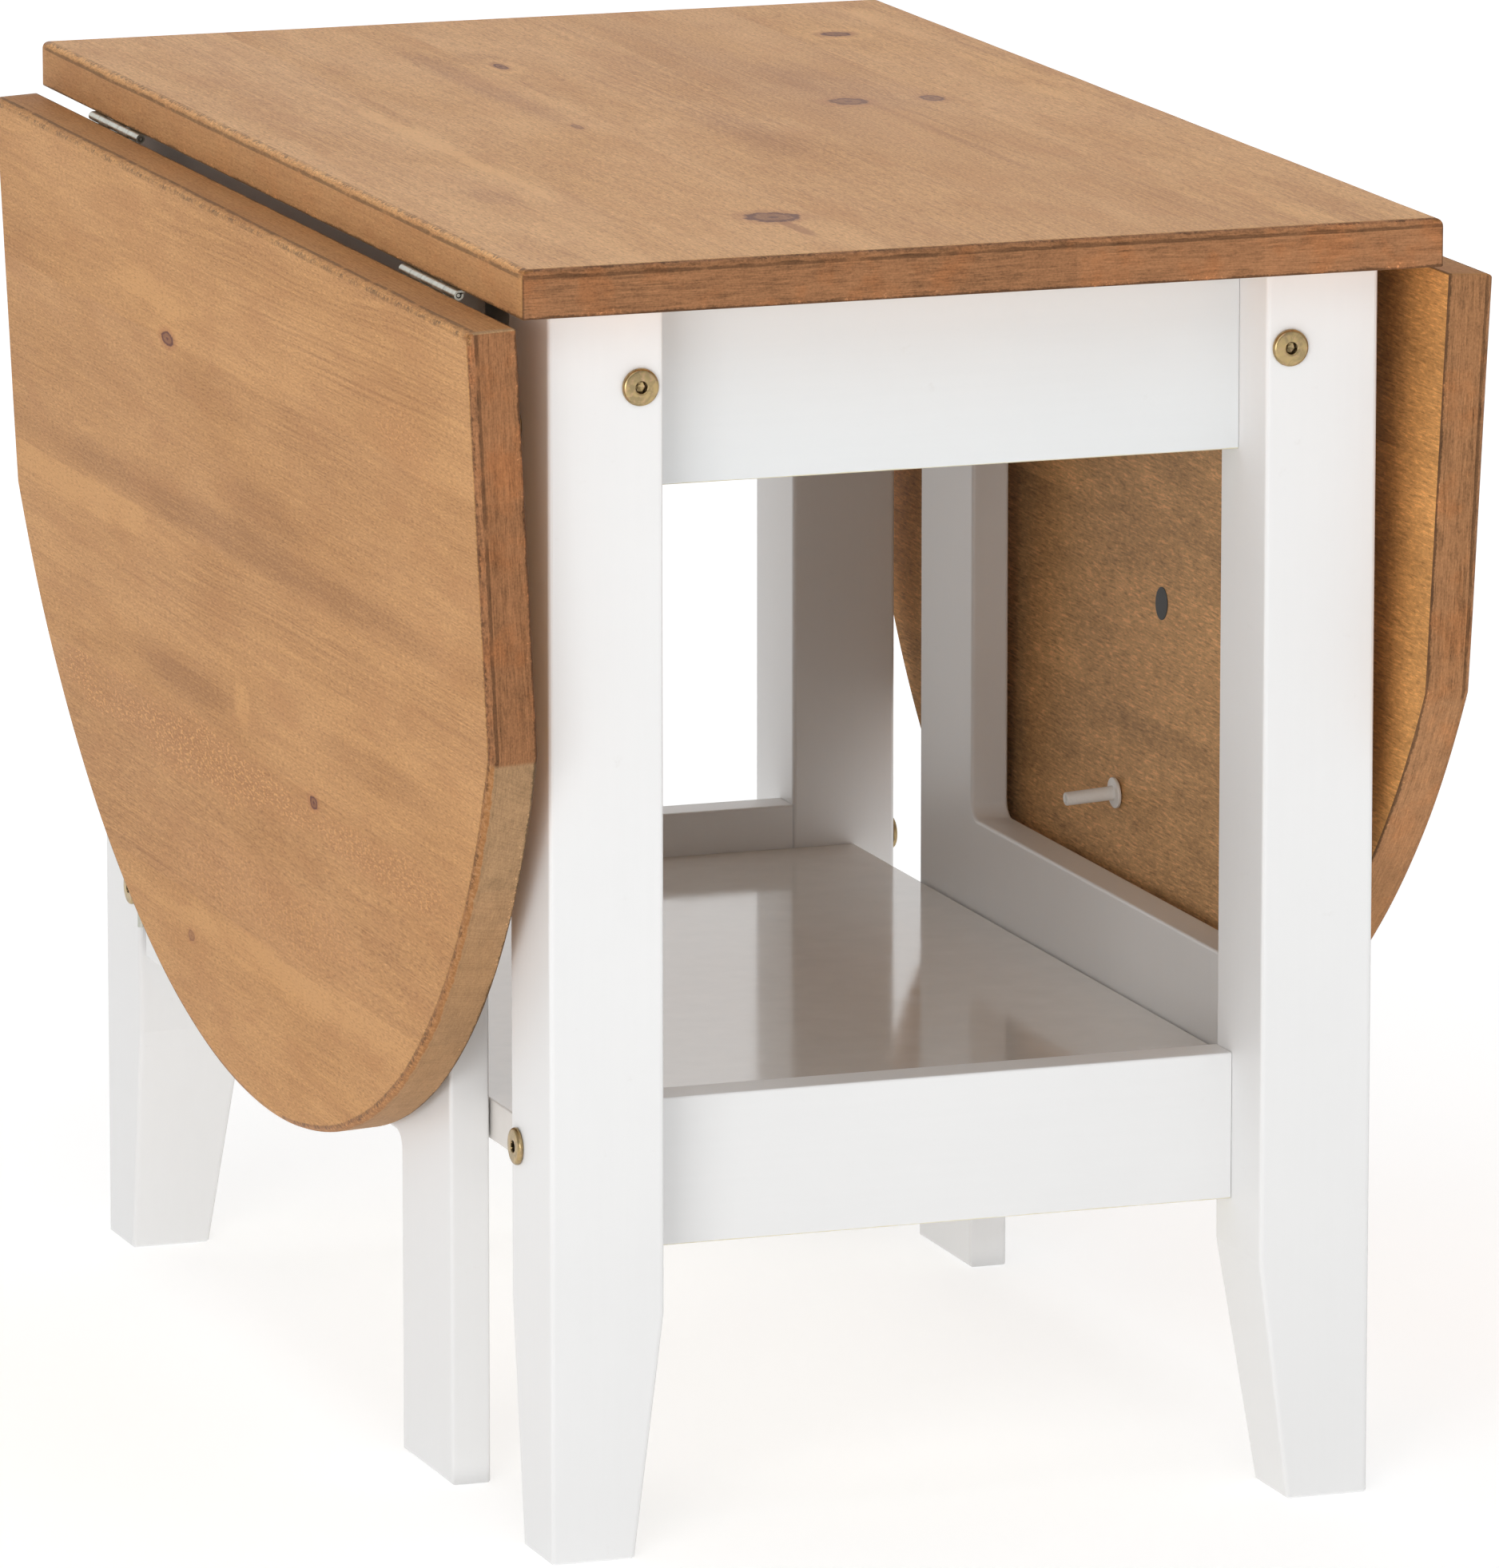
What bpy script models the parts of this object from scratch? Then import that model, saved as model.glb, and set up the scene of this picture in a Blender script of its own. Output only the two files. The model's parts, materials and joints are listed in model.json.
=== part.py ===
"""Gateleg table with two drop leaves, closed: both leaves hang and both gates are folded in.

Metres, +Z up, origin on the floor under the middle of the top.
X runs across the table from leaf to leaf, and Y runs along the grain of the top.
The table looks the same after half a turn about Z, so each half is built once, as the half at -X,
and the other half is the same pieces under an empty turned by 180 degrees.
"""
import math

import bmesh
import bpy
from mathutils import Matrix, Vector
from mathutils.geometry import tessellate_polygon

# Top
TABLE_HEIGHT = 0.750
TOP_THICKNESS = 0.028
TOP_WIDTH = 0.550
TOP_LENGTH = 0.930
TOP_ROUNDING = 0.0050
UNDERSIDE_ROUNDING = 0.0010

# Drop leaves: straight sides beside the hinge edge, then one arc that meets them at an angle
LEAF_REACH = 0.545
LEAF_SIDE = 0.242
LEAF_ARC_STEPS = 44
LEAF_LEAN = math.radians(2.8)
LEAF_HINGE_X = 0.2756
LEAF_EDGE_X = 0.2767

# Legs, tapered on their two inner faces
LEG_OUTER_X = 0.249
LEG_OUTER_Y = 0.432
LEG_SIZE_X = 0.068
LEG_SIZE_Y = 0.070
LEG_FOOT = 0.050
LEG_TAPER_HEIGHT = 0.142
LEG_ROUNDING = 0.0025

# Rails between the legs, flush with the legs' inner faces
APRON_HEIGHT = 0.1113
APRON_THICKNESS = 0.028
LOWER_RAIL_BOTTOM = 0.170
LOWER_RAIL_TOP = 0.2565
LOWER_RAIL_THICKNESS = 0.025
RAIL_ROUNDING = 0.0012

# Shelf and the cleats that carry it and hold the top
SHELF_HALF_WIDTH = 0.2215
SHELF_TOP = 0.229
SHELF_THICKNESS = 0.024
CLEAT_SIZE = 0.020
CLEAT_LENGTH = 0.300

# Swinging gates, each one board
GATE_OUTER_X = 0.247
GATE_THICKNESS = 0.024
GATE_STILE = 0.091
GATE_FREE_END = 0.2455
GATE_HINGE_END = 0.3558
GATE_TOP = 0.7195
GATE_TOP_RAIL_BOTTOM = 0.6245
GATE_LOW_RAIL_TOP = 0.286
GATE_LOW_RAIL_BOTTOM = 0.191
GATE_FOOT = 0.0015
GATE_CORNER = 0.010
GATE_ROUNDING = 0.0020

# Hinges
FLAP_THICKNESS = 0.0012
BARREL_RADIUS = 0.0028
PIN_RADIUS = 0.0013
LEAF_HINGE_Y = 0.305
LEAF_HINGE_LENGTH = 0.100
LEAF_FLAP_WIDTH = 0.026
GATE_HINGE_X = 0.2480
GATE_HINGE_HEIGHTS = {"lower": 0.240, "upper": 0.660}
GATE_HINGE_LENGTH = 0.060
GATE_FLAP_WIDTH = 0.022

# Connector bolts: wide flat head with a rounded rim and a hexagon socket
BOLT_HEAD_RADIUS = 0.01075
BOLT_HEAD_HEIGHT = 0.0030
BOLT_HEAD_RIM = 0.0020
BOLT_RADIUS = 0.0040
BOLT_HOLE_RADIUS = 0.0044
BOLT_REACH = 0.036
SOCKET_FLATS = 0.0060
SOCKET_DEPTH = 0.0040
SIDE_RAIL_BOLT_Z = 0.675
END_APRON_BOLT_Z = 0.648
LOWER_RAIL_BOLT_Z = 0.232

# Plastic stop peg under each leaf, sitting a little askew so that it droops when the leaf hangs
PEG_FROM_HINGE = 0.390
PEG_RADIUS = 0.0043
PEG_LENGTH = 0.0330
PEG_FLANGE_RADIUS = 0.0095
PEG_FLANGE_HEIGHT = 0.0022
PEG_DROOP = math.radians(6)

GAP = 0.0003

TOP_UNDERSIDE = TABLE_HEIGHT - TOP_THICKNESS
LEAF_HINGE_Z = TOP_UNDERSIDE - GAP - BARREL_RADIUS
LEG_INNER_X = LEG_OUTER_X - LEG_SIZE_X
LEG_INNER_Y = LEG_OUTER_Y - LEG_SIZE_Y
GATE_HINGE_Y = LEG_INNER_Y - GAP - BARREL_RADIUS


def clear_scene():
    for item in list(bpy.context.scene.objects):
        bpy.data.objects.remove(item, do_unlink=True)


def make_material(name, color, roughness, metallic=0.0):
    material = bpy.data.materials.new(name)
    material.use_nodes = True
    shader = material.node_tree.nodes["Principled BSDF"]
    shader.inputs["Base Color"].default_value = (*color, 1.0)
    shader.inputs["Roughness"].default_value = roughness
    shader.inputs["Metallic"].default_value = metallic
    material.diffuse_color = (*color, 1.0)
    return material


def make_empty(name, parent=None, location=(0, 0, 0), rotation=(0, 0, 0)):
    empty = bpy.data.objects.new(name, None)
    bpy.context.scene.collection.objects.link(empty)
    empty.empty_display_size = 0.05
    empty.parent = parent
    empty.location = location
    empty.rotation_euler = rotation
    return empty


def make_object(name, mesh, material, parent=None, location=(0, 0, 0), rotation=(0, 0, 0)):
    item = bpy.data.objects.new(name, mesh)
    bpy.context.scene.collection.objects.link(item)
    item.parent = parent
    item.location = location
    item.rotation_euler = rotation
    if material is not None and not mesh.materials:
        mesh.materials.append(material)
    return item


def finish_mesh(name, bm, sharp_angle=35):
    bmesh.ops.recalc_face_normals(bm, faces=bm.faces)
    mesh = bpy.data.meshes.new(name)
    bm.to_mesh(mesh)
    bm.free()
    mesh.shade_smooth()
    mesh.set_sharp_from_angle(angle=math.radians(sharp_angle))
    return mesh


def moved_in(points, distance):
    """The outline with every side moved by distance to its left, which is inward when counterclockwise."""
    out = []
    for i, point in enumerate(points):
        before = (point - points[i - 1]).normalized()
        after = (points[(i + 1) % len(points)] - point).normalized()
        n1 = Vector((-before.y, before.x))
        n2 = Vector((-after.y, after.x))
        out.append(point + (n1 + n2) * (distance / (1 + n1.dot(n2))))
    return out


def rounded_outline(corners, steps=3):
    """Corner points with a radius each, as a dense outline. A radius of 0 keeps the corner sharp."""
    out = []
    for i, (x, y, radius) in enumerate(corners):
        here = Vector((x, y))
        if radius == 0:
            out.append(here)
            continue
        back = (Vector(corners[i - 1][:2]) - here).normalized()
        ahead = (Vector(corners[(i + 1) % len(corners)][:2]) - here).normalized()
        half = math.acos(max(-1.0, min(1.0, back.dot(ahead)))) / 2
        start = here + back * (radius / math.tan(half))
        end = here + ahead * (radius / math.tan(half))
        center = here + (back + ahead).normalized() * (radius / math.sin(half))
        turn = (start - center).angle_signed(end - center)
        for k in range(steps + 1):
            spoke = start - center
            spoke.rotate(Matrix.Rotation(-turn * k / steps, 2))
            out.append(center + spoke)
    return out


def slab(
    name, outline, low, high, rounding=0.0, under=None, holes=(), place=None, rounds=2, sharp_angle=35
):
    """A board between two heights with the given outline, its long edges rounded over.

    rounding is the radius at the high face, and under the one at the low face, the same unless given.
    The outline is counterclockwise and each hole is clockwise, so both shrink the board when moved in.
    place turns the flat drawing into the board's own position.
    """
    bm = bmesh.new()
    place = place or Matrix.Identity(4)
    if rounding:
        under = rounding if under is None else under
        turns = [math.radians(90) * k / rounds for k in range(rounds + 1)]
        levels = [(under * (1 - math.sin(a)), low + under * (1 - math.cos(a))) for a in turns]
        levels += [
            (rounding * (1 - math.sin(a)), high - rounding * (1 - math.cos(a))) for a in reversed(turns)
        ]
    else:
        levels = [(0.0, low), (0.0, high)]
    loops = [outline, *holes]
    ends = []
    for points in loops:
        rings = []
        for inset, z in levels:
            ring = moved_in(points, inset) if inset else points
            rings.append([bm.verts.new(place @ Vector((p.x, p.y, z))) for p in ring])
        for lower, upper in zip(rings, rings[1:]):
            for i in range(len(points)):
                j = (i + 1) % len(points)
                bm.faces.new((lower[i], lower[j], upper[j], upper[i]))
        ends.append((rings[0], rings[-1]))
    for side in (0, 1):
        flat = [v for end in ends for v in end[side]]
        if len(ends) == 1:
            bm.faces.new(flat)
            continue
        drawing = [[v.co.copy() for v in end[side]] for end in ends]
        for corners in tessellate_polygon(drawing):
            bm.faces.new([flat[k] for k in corners])
    return finish_mesh(name, bm, sharp_angle)


def bar(name, start, end, rounding, steps=2):
    """A straight rail from one corner to the opposite one, rounded along its longest direction."""
    low = [min(a, b) for a, b in zip(start, end)]
    high = [max(a, b) for a, b in zip(start, end)]
    along = max(range(3), key=lambda axis: high[axis] - low[axis])
    u, v = [(1, 2), (2, 0), (0, 1)][along]
    place = Matrix.Identity(4)
    place.col[0] = Vector([float(k == u) for k in range(3)] + [0.0])
    place.col[1] = Vector([float(k == v) for k in range(3)] + [0.0])
    place.col[2] = Vector([float(k == along) for k in range(3)] + [0.0])
    corners = [(low[u], low[v]), (high[u], low[v]), (high[u], high[v]), (low[u], high[v])]
    outline = rounded_outline([(x, y, rounding) for x, y in corners], steps)
    return slab(name, outline, low[along], high[along], place=place)


def leg_mesh(name):
    """The front left leg: straight on its outer faces, tapered to the foot on its inner ones."""
    bm = bmesh.new()
    rings = []
    foot_round = 0.0015
    full = (LEG_SIZE_X, LEG_SIZE_Y)
    foot = (LEG_FOOT, LEG_FOOT)
    near_foot = [f + (s - f) * foot_round / LEG_TAPER_HEIGHT for f, s in zip(foot, full)]
    levels = [
        (foot, 0.0, foot_round),
        (near_foot, foot_round, 0.0),
        (full, LEG_TAPER_HEIGHT, 0.0),
        (full, TOP_UNDERSIDE - GAP, 0.0),
    ]
    for (size_x, size_y), z, inset in levels:
        x0 = -LEG_OUTER_X
        y0 = -LEG_OUTER_Y
        corners = [(x0, y0), (x0 + size_x, y0), (x0 + size_x, y0 + size_y), (x0, y0 + size_y)]
        ring = rounded_outline([(x, y, LEG_ROUNDING) for x, y in corners], 3)
        if inset:
            ring = moved_in(ring, inset)
        rings.append([bm.verts.new((p.x, p.y, z)) for p in ring])
    for lower, upper in zip(rings, rings[1:]):
        for i in range(len(lower)):
            j = (i + 1) % len(lower)
            bm.faces.new((lower[i], lower[j], upper[j], upper[i]))
    bm.faces.new(rings[0])
    bm.faces.new(rings[-1])
    return finish_mesh(name, bm, 25)


def turned(name, profile, segments, sharp_angle=35):
    """A solid turned about Z from (radius, height) points that start and end on the axis."""
    bm = bmesh.new()
    rings = []
    for radius, z in profile:
        if radius == 0:
            rings.append([bm.verts.new((0, 0, z))])
            continue
        angles = [2 * math.pi * k / segments for k in range(segments)]
        rings.append([bm.verts.new((radius * math.cos(a), radius * math.sin(a), z)) for a in angles])
    for lower, upper in zip(rings, rings[1:]):
        for i in range(segments):
            j = (i + 1) % segments
            if len(lower) == 1:
                bm.faces.new((lower[0], upper[i], upper[j]))
            elif len(upper) == 1:
                bm.faces.new((lower[i], lower[j], upper[0]))
            else:
                bm.faces.new((lower[i], lower[j], upper[j], upper[i]))
    return finish_mesh(name, bm, sharp_angle)


def cutter(name, bm, parent=None, location=(0, 0, 0), rotation=(0, 0, 0)):
    bmesh.ops.recalc_face_normals(bm, faces=bm.faces)
    mesh = bpy.data.meshes.new(name)
    bm.to_mesh(mesh)
    bm.free()
    item = make_object(name, mesh, None, parent, location, rotation)
    item.hide_render = True
    item.display_type = "WIRE"
    return item


def cut(item, tool):
    modifier = item.modifiers.new("Cut", "BOOLEAN")
    modifier.operation = "DIFFERENCE"
    modifier.solver = "EXACT"
    modifier.object = tool


def drill(bm, start, end, radius, segments=12):
    """Adds a rod from start to end to a cutter."""
    start = Vector(start)
    end = Vector(end)
    turn = (end - start).to_track_quat("Z", "Y").to_matrix().to_4x4()
    place = Matrix.Translation((start + end) / 2) @ turn
    bmesh.ops.create_cone(
        bm,
        cap_ends=True,
        segments=segments,
        radius1=radius,
        radius2=radius,
        depth=(end - start).length,
        matrix=place,
    )


def bolt_mesh(name):
    """Head above Z = 0, shank below it."""
    steps = 4
    turns = [math.radians(90) * k / steps for k in range(steps + 1)]
    rim = [
        (
            BOLT_HEAD_RADIUS - BOLT_HEAD_RIM * (1 - math.sin(a)),
            BOLT_HEAD_HEIGHT - BOLT_HEAD_RIM * (1 - math.cos(a)),
        )
        for a in turns
    ]
    return turned(
        name,
        [
            (0, BOLT_HEAD_HEIGHT),
            *rim,
            (BOLT_HEAD_RADIUS, 0),
            (BOLT_RADIUS, 0),
            (BOLT_RADIUS, -BOLT_REACH - LEG_SIZE_X + GAP + 0.002),
            (0, -BOLT_REACH - LEG_SIZE_X + GAP + 0.002),
        ],
        20,
    )


def make_bolt(name, mesh, material, parent, location, rotation):
    item = make_object(name, mesh, material, parent, location, rotation)
    bm = bmesh.new()
    drill(
        bm,
        (0, 0, BOLT_HEAD_HEIGHT - SOCKET_DEPTH),
        (0, 0, BOLT_HEAD_HEIGHT + 0.002),
        SOCKET_FLATS / math.sqrt(3),
        6,
    )
    cut(item, cutter(name + "_socket_cutter", bm, parent, location, rotation))
    return item


def hinge_flap(name, length, width, knuckles, keep, material, parent, location, rotation):
    """A flap with a rolled barrel along its own Z, centred on the pin.

    The plate runs toward +X from the barrel, tangent to its +Y side. keep is 0 or 1: which of the
    alternating knuckles this flap has.
    """
    inner = BARREL_RADIUS - FLAP_THICKNESS
    steps = 10
    first = math.radians(90)
    last = math.radians(380)
    angles = [first + (last - first) * k / steps for k in range(steps + 1)]
    outer_arc = [Vector((BARREL_RADIUS * math.cos(a), BARREL_RADIUS * math.sin(a))) for a in angles]
    inner_arc = [Vector((inner * math.cos(a), inner * math.sin(a))) for a in reversed(angles)]
    outline = [Vector((width, BARREL_RADIUS)), *outer_arc, *inner_arc, Vector((width, inner))]
    mesh = slab(name, outline, -length / 2, length / 2)
    item = make_object(name, mesh, material, parent, location, rotation)
    bm = bmesh.new()
    pitch = length / knuckles
    for k in range(knuckles):
        if k % 2 == keep:
            continue
        low = -length / 2 + k * pitch - (0.001 if k == 0 else GAP / 2)
        high = -length / 2 + (k + 1) * pitch + (0.001 if k == knuckles - 1 else GAP / 2)
        reach = BARREL_RADIUS + 0.0006
        size = Vector((2 * reach, 2 * reach, high - low))
        place = Matrix.Translation((0, 0, (low + high) / 2)) @ Matrix.Diagonal((*size, 1))
        bmesh.ops.create_cube(bm, size=1, matrix=place)
    cut(item, cutter(name + "_knuckle_cutter", bm, parent, location, rotation))
    return item


def hinge_pin(name, length, material, parent, location, rotation):
    half = length / 2
    mesh = turned(name, [(0, half), (PIN_RADIUS, half), (PIN_RADIUS, -half), (0, -half)], 10)
    return make_object(name, mesh, material, parent, location, rotation)


def leaf_outline():
    """The raised leaf seen from above, from its hinge edge at -X outward, counterclockwise."""
    half = TOP_LENGTH / 2
    rise = LEAF_REACH - LEAF_SIDE
    radius = (half**2 + rise**2) / (2 * rise)
    center = LEAF_EDGE_X + LEAF_REACH - radius
    sweep = math.asin(half / radius)
    points = [Vector((-LEAF_EDGE_X, half))]
    for k in range(LEAF_ARC_STEPS + 1):
        a = sweep - 2 * sweep * k / LEAF_ARC_STEPS
        points.append(Vector((-center - radius * math.cos(a), radius * math.sin(a))))
    points.append(Vector((-LEAF_EDGE_X, -half)))
    return points


def gate_outline():
    """The gate seen from +X, as (y, z): an inverted L with its free leg down to the floor."""
    free = -GATE_FREE_END
    leg = free + GATE_STILE
    corners = [
        (free, GATE_FOOT, 0),
        (leg, GATE_FOOT, 0),
        (leg, GATE_LOW_RAIL_BOTTOM, GATE_CORNER),
        (GATE_HINGE_END, GATE_LOW_RAIL_BOTTOM, 0),
        (GATE_HINGE_END, GATE_TOP, 0),
        (free, GATE_TOP, 0),
    ]
    window = [
        (leg, GATE_LOW_RAIL_TOP, GATE_CORNER),
        (leg, GATE_TOP_RAIL_BOTTOM, GATE_CORNER),
        (GATE_HINGE_END - GATE_STILE, GATE_TOP_RAIL_BOTTOM, GATE_CORNER),
        (GATE_HINGE_END - GATE_STILE, GATE_LOW_RAIL_TOP, GATE_CORNER),
    ]
    return rounded_outline(corners, 5), rounded_outline(window, 5)


def build_top(materials):
    half_x = TOP_WIDTH / 2
    half_y = TOP_LENGTH / 2
    corners = [(-half_x, -half_y), (half_x, -half_y), (half_x, half_y), (-half_x, half_y)]
    outline = [Vector(corner) for corner in corners]
    mesh = slab(
        "top_panel", outline, TOP_UNDERSIDE, TABLE_HEIGHT, TOP_ROUNDING, UNDERSIDE_ROUNDING, rounds=3
    )
    make_object("top_panel", mesh, materials["pine"])


def build_legs(materials):
    """Four legs, each with the holes for its three bolts."""
    mesh = leg_mesh("leg")
    bolts = bolt_mesh("connector_bolt")
    rail_x = LEG_INNER_X + APRON_THICKNESS / 2
    apron_y = LEG_INNER_Y + APRON_THICKNESS / 2
    lower_y = LEG_INNER_Y + LOWER_RAIL_THICKNESS / 2
    face_x = LEG_OUTER_X + GAP
    face_y = LEG_OUTER_Y + GAP
    for end, end_sign in (("front", -1), ("back", 1)):
        for side, side_sign in (("left", -1), ("right", 1)):
            name = f"leg_{end}_{side}"
            leg = make_object(name, mesh.copy(), materials["white_paint"])
            leg.data.name = name
            flip = Matrix.Diagonal((-side_sign, -end_sign, 1, 1))
            leg.data.transform(flip)
            if side_sign * end_sign < 0:
                leg.data.flip_normals()
            places = {
                "side_rail": (
                    (side_sign * rail_x, end_sign * face_y, SIDE_RAIL_BOLT_Z),
                    (math.radians(90 if end_sign < 0 else -90), 0, 0),
                ),
                "end_apron": (
                    (side_sign * face_x, end_sign * apron_y, END_APRON_BOLT_Z),
                    (0, math.radians(90 * side_sign), 0),
                ),
                "lower_rail": (
                    (side_sign * face_x, end_sign * lower_y, LOWER_RAIL_BOLT_Z),
                    (0, math.radians(90 * side_sign), 0),
                ),
            }
            bm = bmesh.new()
            for what, (location, rotation) in places.items():
                bolt_name = f"bolt_{what}_{end}_{side}"
                make_bolt(bolt_name, bolts.copy(), materials["zinc"], None, location, rotation)
                start = Vector(location)
                inward = Vector((0, -end_sign, 0)) if what == "side_rail" else Vector((-side_sign, 0, 0))
                drill(bm, start - inward * 0.002, start + inward * 0.090, BOLT_HOLE_RADIUS)
            cut(leg, cutter(name + "_hole_cutter", bm))


def build_rails(materials):
    """Upper frame, lower end rails, shelf and cleats."""
    paint = materials["white_paint"]
    top = TOP_UNDERSIDE - GAP
    bottom = top - APRON_HEIGHT
    inner_x = LEG_INNER_X - GAP
    inner_y = LEG_INNER_Y - GAP
    for end, sign in (("front", -1), ("back", 1)):
        name = f"end_apron_{end}"
        near = sign * LEG_INNER_Y
        far = sign * (LEG_INNER_Y + APRON_THICKNESS)
        mesh = bar(name, (-inner_x, near, bottom), (inner_x, far, top), RAIL_ROUNDING)
        apron = make_object(name, mesh, paint)
        bm = bmesh.new()
        middle = (near + far) / 2
        for side in (-1, 1):
            start = (side * (inner_x + 0.002), middle, END_APRON_BOLT_Z)
            stop = (side * (inner_x - BOLT_REACH - 0.002), middle, END_APRON_BOLT_Z)
            drill(bm, start, stop, BOLT_HOLE_RADIUS)
        cut(apron, cutter(name + "_hole_cutter", bm))

        name = f"lower_rail_{end}"
        far = sign * (LEG_INNER_Y + LOWER_RAIL_THICKNESS)
        mesh = bar(
            name, (-inner_x, near, LOWER_RAIL_BOTTOM), (inner_x, far, LOWER_RAIL_TOP), RAIL_ROUNDING
        )
        rail = make_object(name, mesh, paint)
        bm = bmesh.new()
        middle = (near + far) / 2
        for side in (-1, 1):
            start = (side * (inner_x + 0.002), middle, LOWER_RAIL_BOLT_Z)
            stop = (side * (inner_x - BOLT_REACH - 0.002), middle, LOWER_RAIL_BOLT_Z)
            drill(bm, start, stop, BOLT_HOLE_RADIUS)
        cut(rail, cutter(name + "_hole_cutter", bm))

        cleat_near = sign * (inner_y - CLEAT_SIZE)
        cleat_far = sign * inner_y
        half = CLEAT_LENGTH / 2
        name = f"top_cleat_{end}"
        mesh = bar(name, (-half, cleat_near, top - CLEAT_SIZE), (half, cleat_far, top), 0.001)
        make_object(name, mesh, materials["bare_wood"])
        name = f"shelf_cleat_{end}"
        shelf_bottom = SHELF_TOP - SHELF_THICKNESS - GAP
        start = (-half, cleat_near, shelf_bottom - CLEAT_SIZE)
        mesh = bar(name, start, (half, cleat_far, shelf_bottom), 0.001)
        make_object(name, mesh, materials["bare_wood"])

    for side, sign in (("left", -1), ("right", 1)):
        name = f"side_rail_{side}"
        near = sign * LEG_INNER_X
        far = sign * (LEG_INNER_X + APRON_THICKNESS)
        mesh = bar(name, (near, -inner_y, bottom), (far, inner_y, top), RAIL_ROUNDING)
        rail = make_object(name, mesh, paint)
        bm = bmesh.new()
        middle = (near + far) / 2
        for end in (-1, 1):
            start = (middle, end * (inner_y + 0.002), SIDE_RAIL_BOLT_Z)
            stop = (middle, end * (inner_y - BOLT_REACH - 0.002), SIDE_RAIL_BOLT_Z)
            drill(bm, start, stop, BOLT_HOLE_RADIUS)
        cut(rail, cutter(name + "_hole_cutter", bm))

    width = SHELF_HALF_WIDTH
    corners = [(-width, -inner_y), (width, -inner_y), (width, inner_y), (-width, inner_y)]
    outline = [Vector(corner) for corner in corners]
    mesh = slab("shelf", outline, SHELF_TOP - SHELF_THICKNESS, SHELF_TOP, 0.0008)
    make_object("shelf", mesh, paint)


def build_leaf(side, half, materials):
    """One leaf with its hinges and stop peg. The pivot empty holds it raised, then lets it hang."""
    at = (-LEAF_HINGE_X, 0, LEAF_HINGE_Z)
    drop = math.radians(90) + LEAF_LEAN
    pivot = make_empty(f"leaf_pivot_{side}", half, at, (0, -drop, 0))
    to_axis = Matrix.Translation((LEAF_HINGE_X, 0, -LEAF_HINGE_Z))
    name = f"leaf_{side}"
    mesh = slab(
        name,
        leaf_outline(),
        TOP_UNDERSIDE,
        TABLE_HEIGHT,
        TOP_ROUNDING,
        UNDERSIDE_ROUNDING,
        place=to_axis,
        rounds=3,
    )
    make_object(name, mesh, materials["pine"], pivot)

    name = f"stop_peg_{side}"
    edge = 0.0005
    mesh = turned(
        name,
        [
            (0, 0),
            (PEG_FLANGE_RADIUS - edge, 0),
            (PEG_FLANGE_RADIUS, -edge),
            (PEG_FLANGE_RADIUS, edge - PEG_FLANGE_HEIGHT),
            (PEG_FLANGE_RADIUS - edge, -PEG_FLANGE_HEIGHT),
            (PEG_RADIUS, -PEG_FLANGE_HEIGHT),
            (PEG_RADIUS, edge - PEG_LENGTH),
            (PEG_RADIUS - edge, -PEG_LENGTH),
            (0, -PEG_LENGTH),
        ],
        18,
    )
    peg_at = (-PEG_FROM_HINGE, 0, BARREL_RADIUS - PEG_FLANGE_RADIUS * math.sin(PEG_DROOP))
    make_object(name, mesh, materials["white_plastic"], pivot, peg_at, (0, PEG_DROOP, 0))

    for y in (-LEAF_HINGE_Y, LEAF_HINGE_Y):
        in_front = (y < 0) == (side == "left")
        label = f"leaf_hinge_{'front' if in_front else 'back'}_{side}"
        length = LEAF_HINGE_LENGTH
        width = LEAF_FLAP_WIDTH
        flat = (math.radians(90), 0, 0)
        turned_over = (math.radians(90), 0, 0)
        fixed_at = (-LEAF_HINGE_X, y, LEAF_HINGE_Z)
        hinge_flap(
            label + "_top_flap", length, width, 5, 0, materials["steel"], half, fixed_at, flat
        )
        hinge_pin(label + "_pin", length, materials["steel"], half, fixed_at, flat)
        moving = hinge_flap(
            label + "_leaf_flap",
            length,
            width,
            5,
            1,
            materials["steel"],
            pivot,
            (0, y, 0),
            turned_over,
        )
        mirror_flap(moving)


def mirror_flap(item):
    """Turns a flap and its cutter so that the plate runs toward -X from the barrel."""
    flip = Matrix.Diagonal((-1, 1, 1, 1))
    tool = item.modifiers["Cut"].object
    for mesh in (item.data, tool.data):
        mesh.transform(flip)
        mesh.flip_normals()


def build_gate(side, half, materials):
    """One gate with its two hinges, turning on the leg at the back of its own half."""
    pivot = make_empty(f"gate_pivot_{side}", half, (-GATE_HINGE_X, GATE_HINGE_Y, 0))
    outline, window = gate_outline()
    stand = Matrix(((0, 0, 1, 0), (1, 0, 0, 0), (0, 1, 0, 0), (0, 0, 0, 1)))
    place = Matrix.Translation((GATE_HINGE_X, -GATE_HINGE_Y, 0)) @ stand
    name = f"gate_{side}"
    mesh = slab(
        name,
        outline,
        -GATE_OUTER_X,
        -GATE_OUTER_X + GATE_THICKNESS,
        GATE_ROUNDING,
        holes=[window],
        place=place,
    )
    make_object(name, mesh, materials["white_paint"], pivot)
    for level, z in GATE_HINGE_HEIGHTS.items():
        label = f"gate_hinge_{level}_{side}"
        length = GATE_HINGE_LENGTH
        width = GATE_FLAP_WIDTH
        steel = materials["steel"]
        fixed_at = (-GATE_HINGE_X, GATE_HINGE_Y, z)
        hinge_flap(label + "_leg_flap", length, width, 3, 0, steel, half, fixed_at, (0, 0, 0))
        hinge_pin(label + "_pin", length, steel, half, fixed_at, (0, 0, 0))
        moving = hinge_flap(
            label + "_gate_flap",
            length,
            width,
            3,
            1,
            steel,
            pivot,
            (0, 0, z),
            (0, 0, math.radians(180)),
        )
        mirror_flap(moving)


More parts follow.
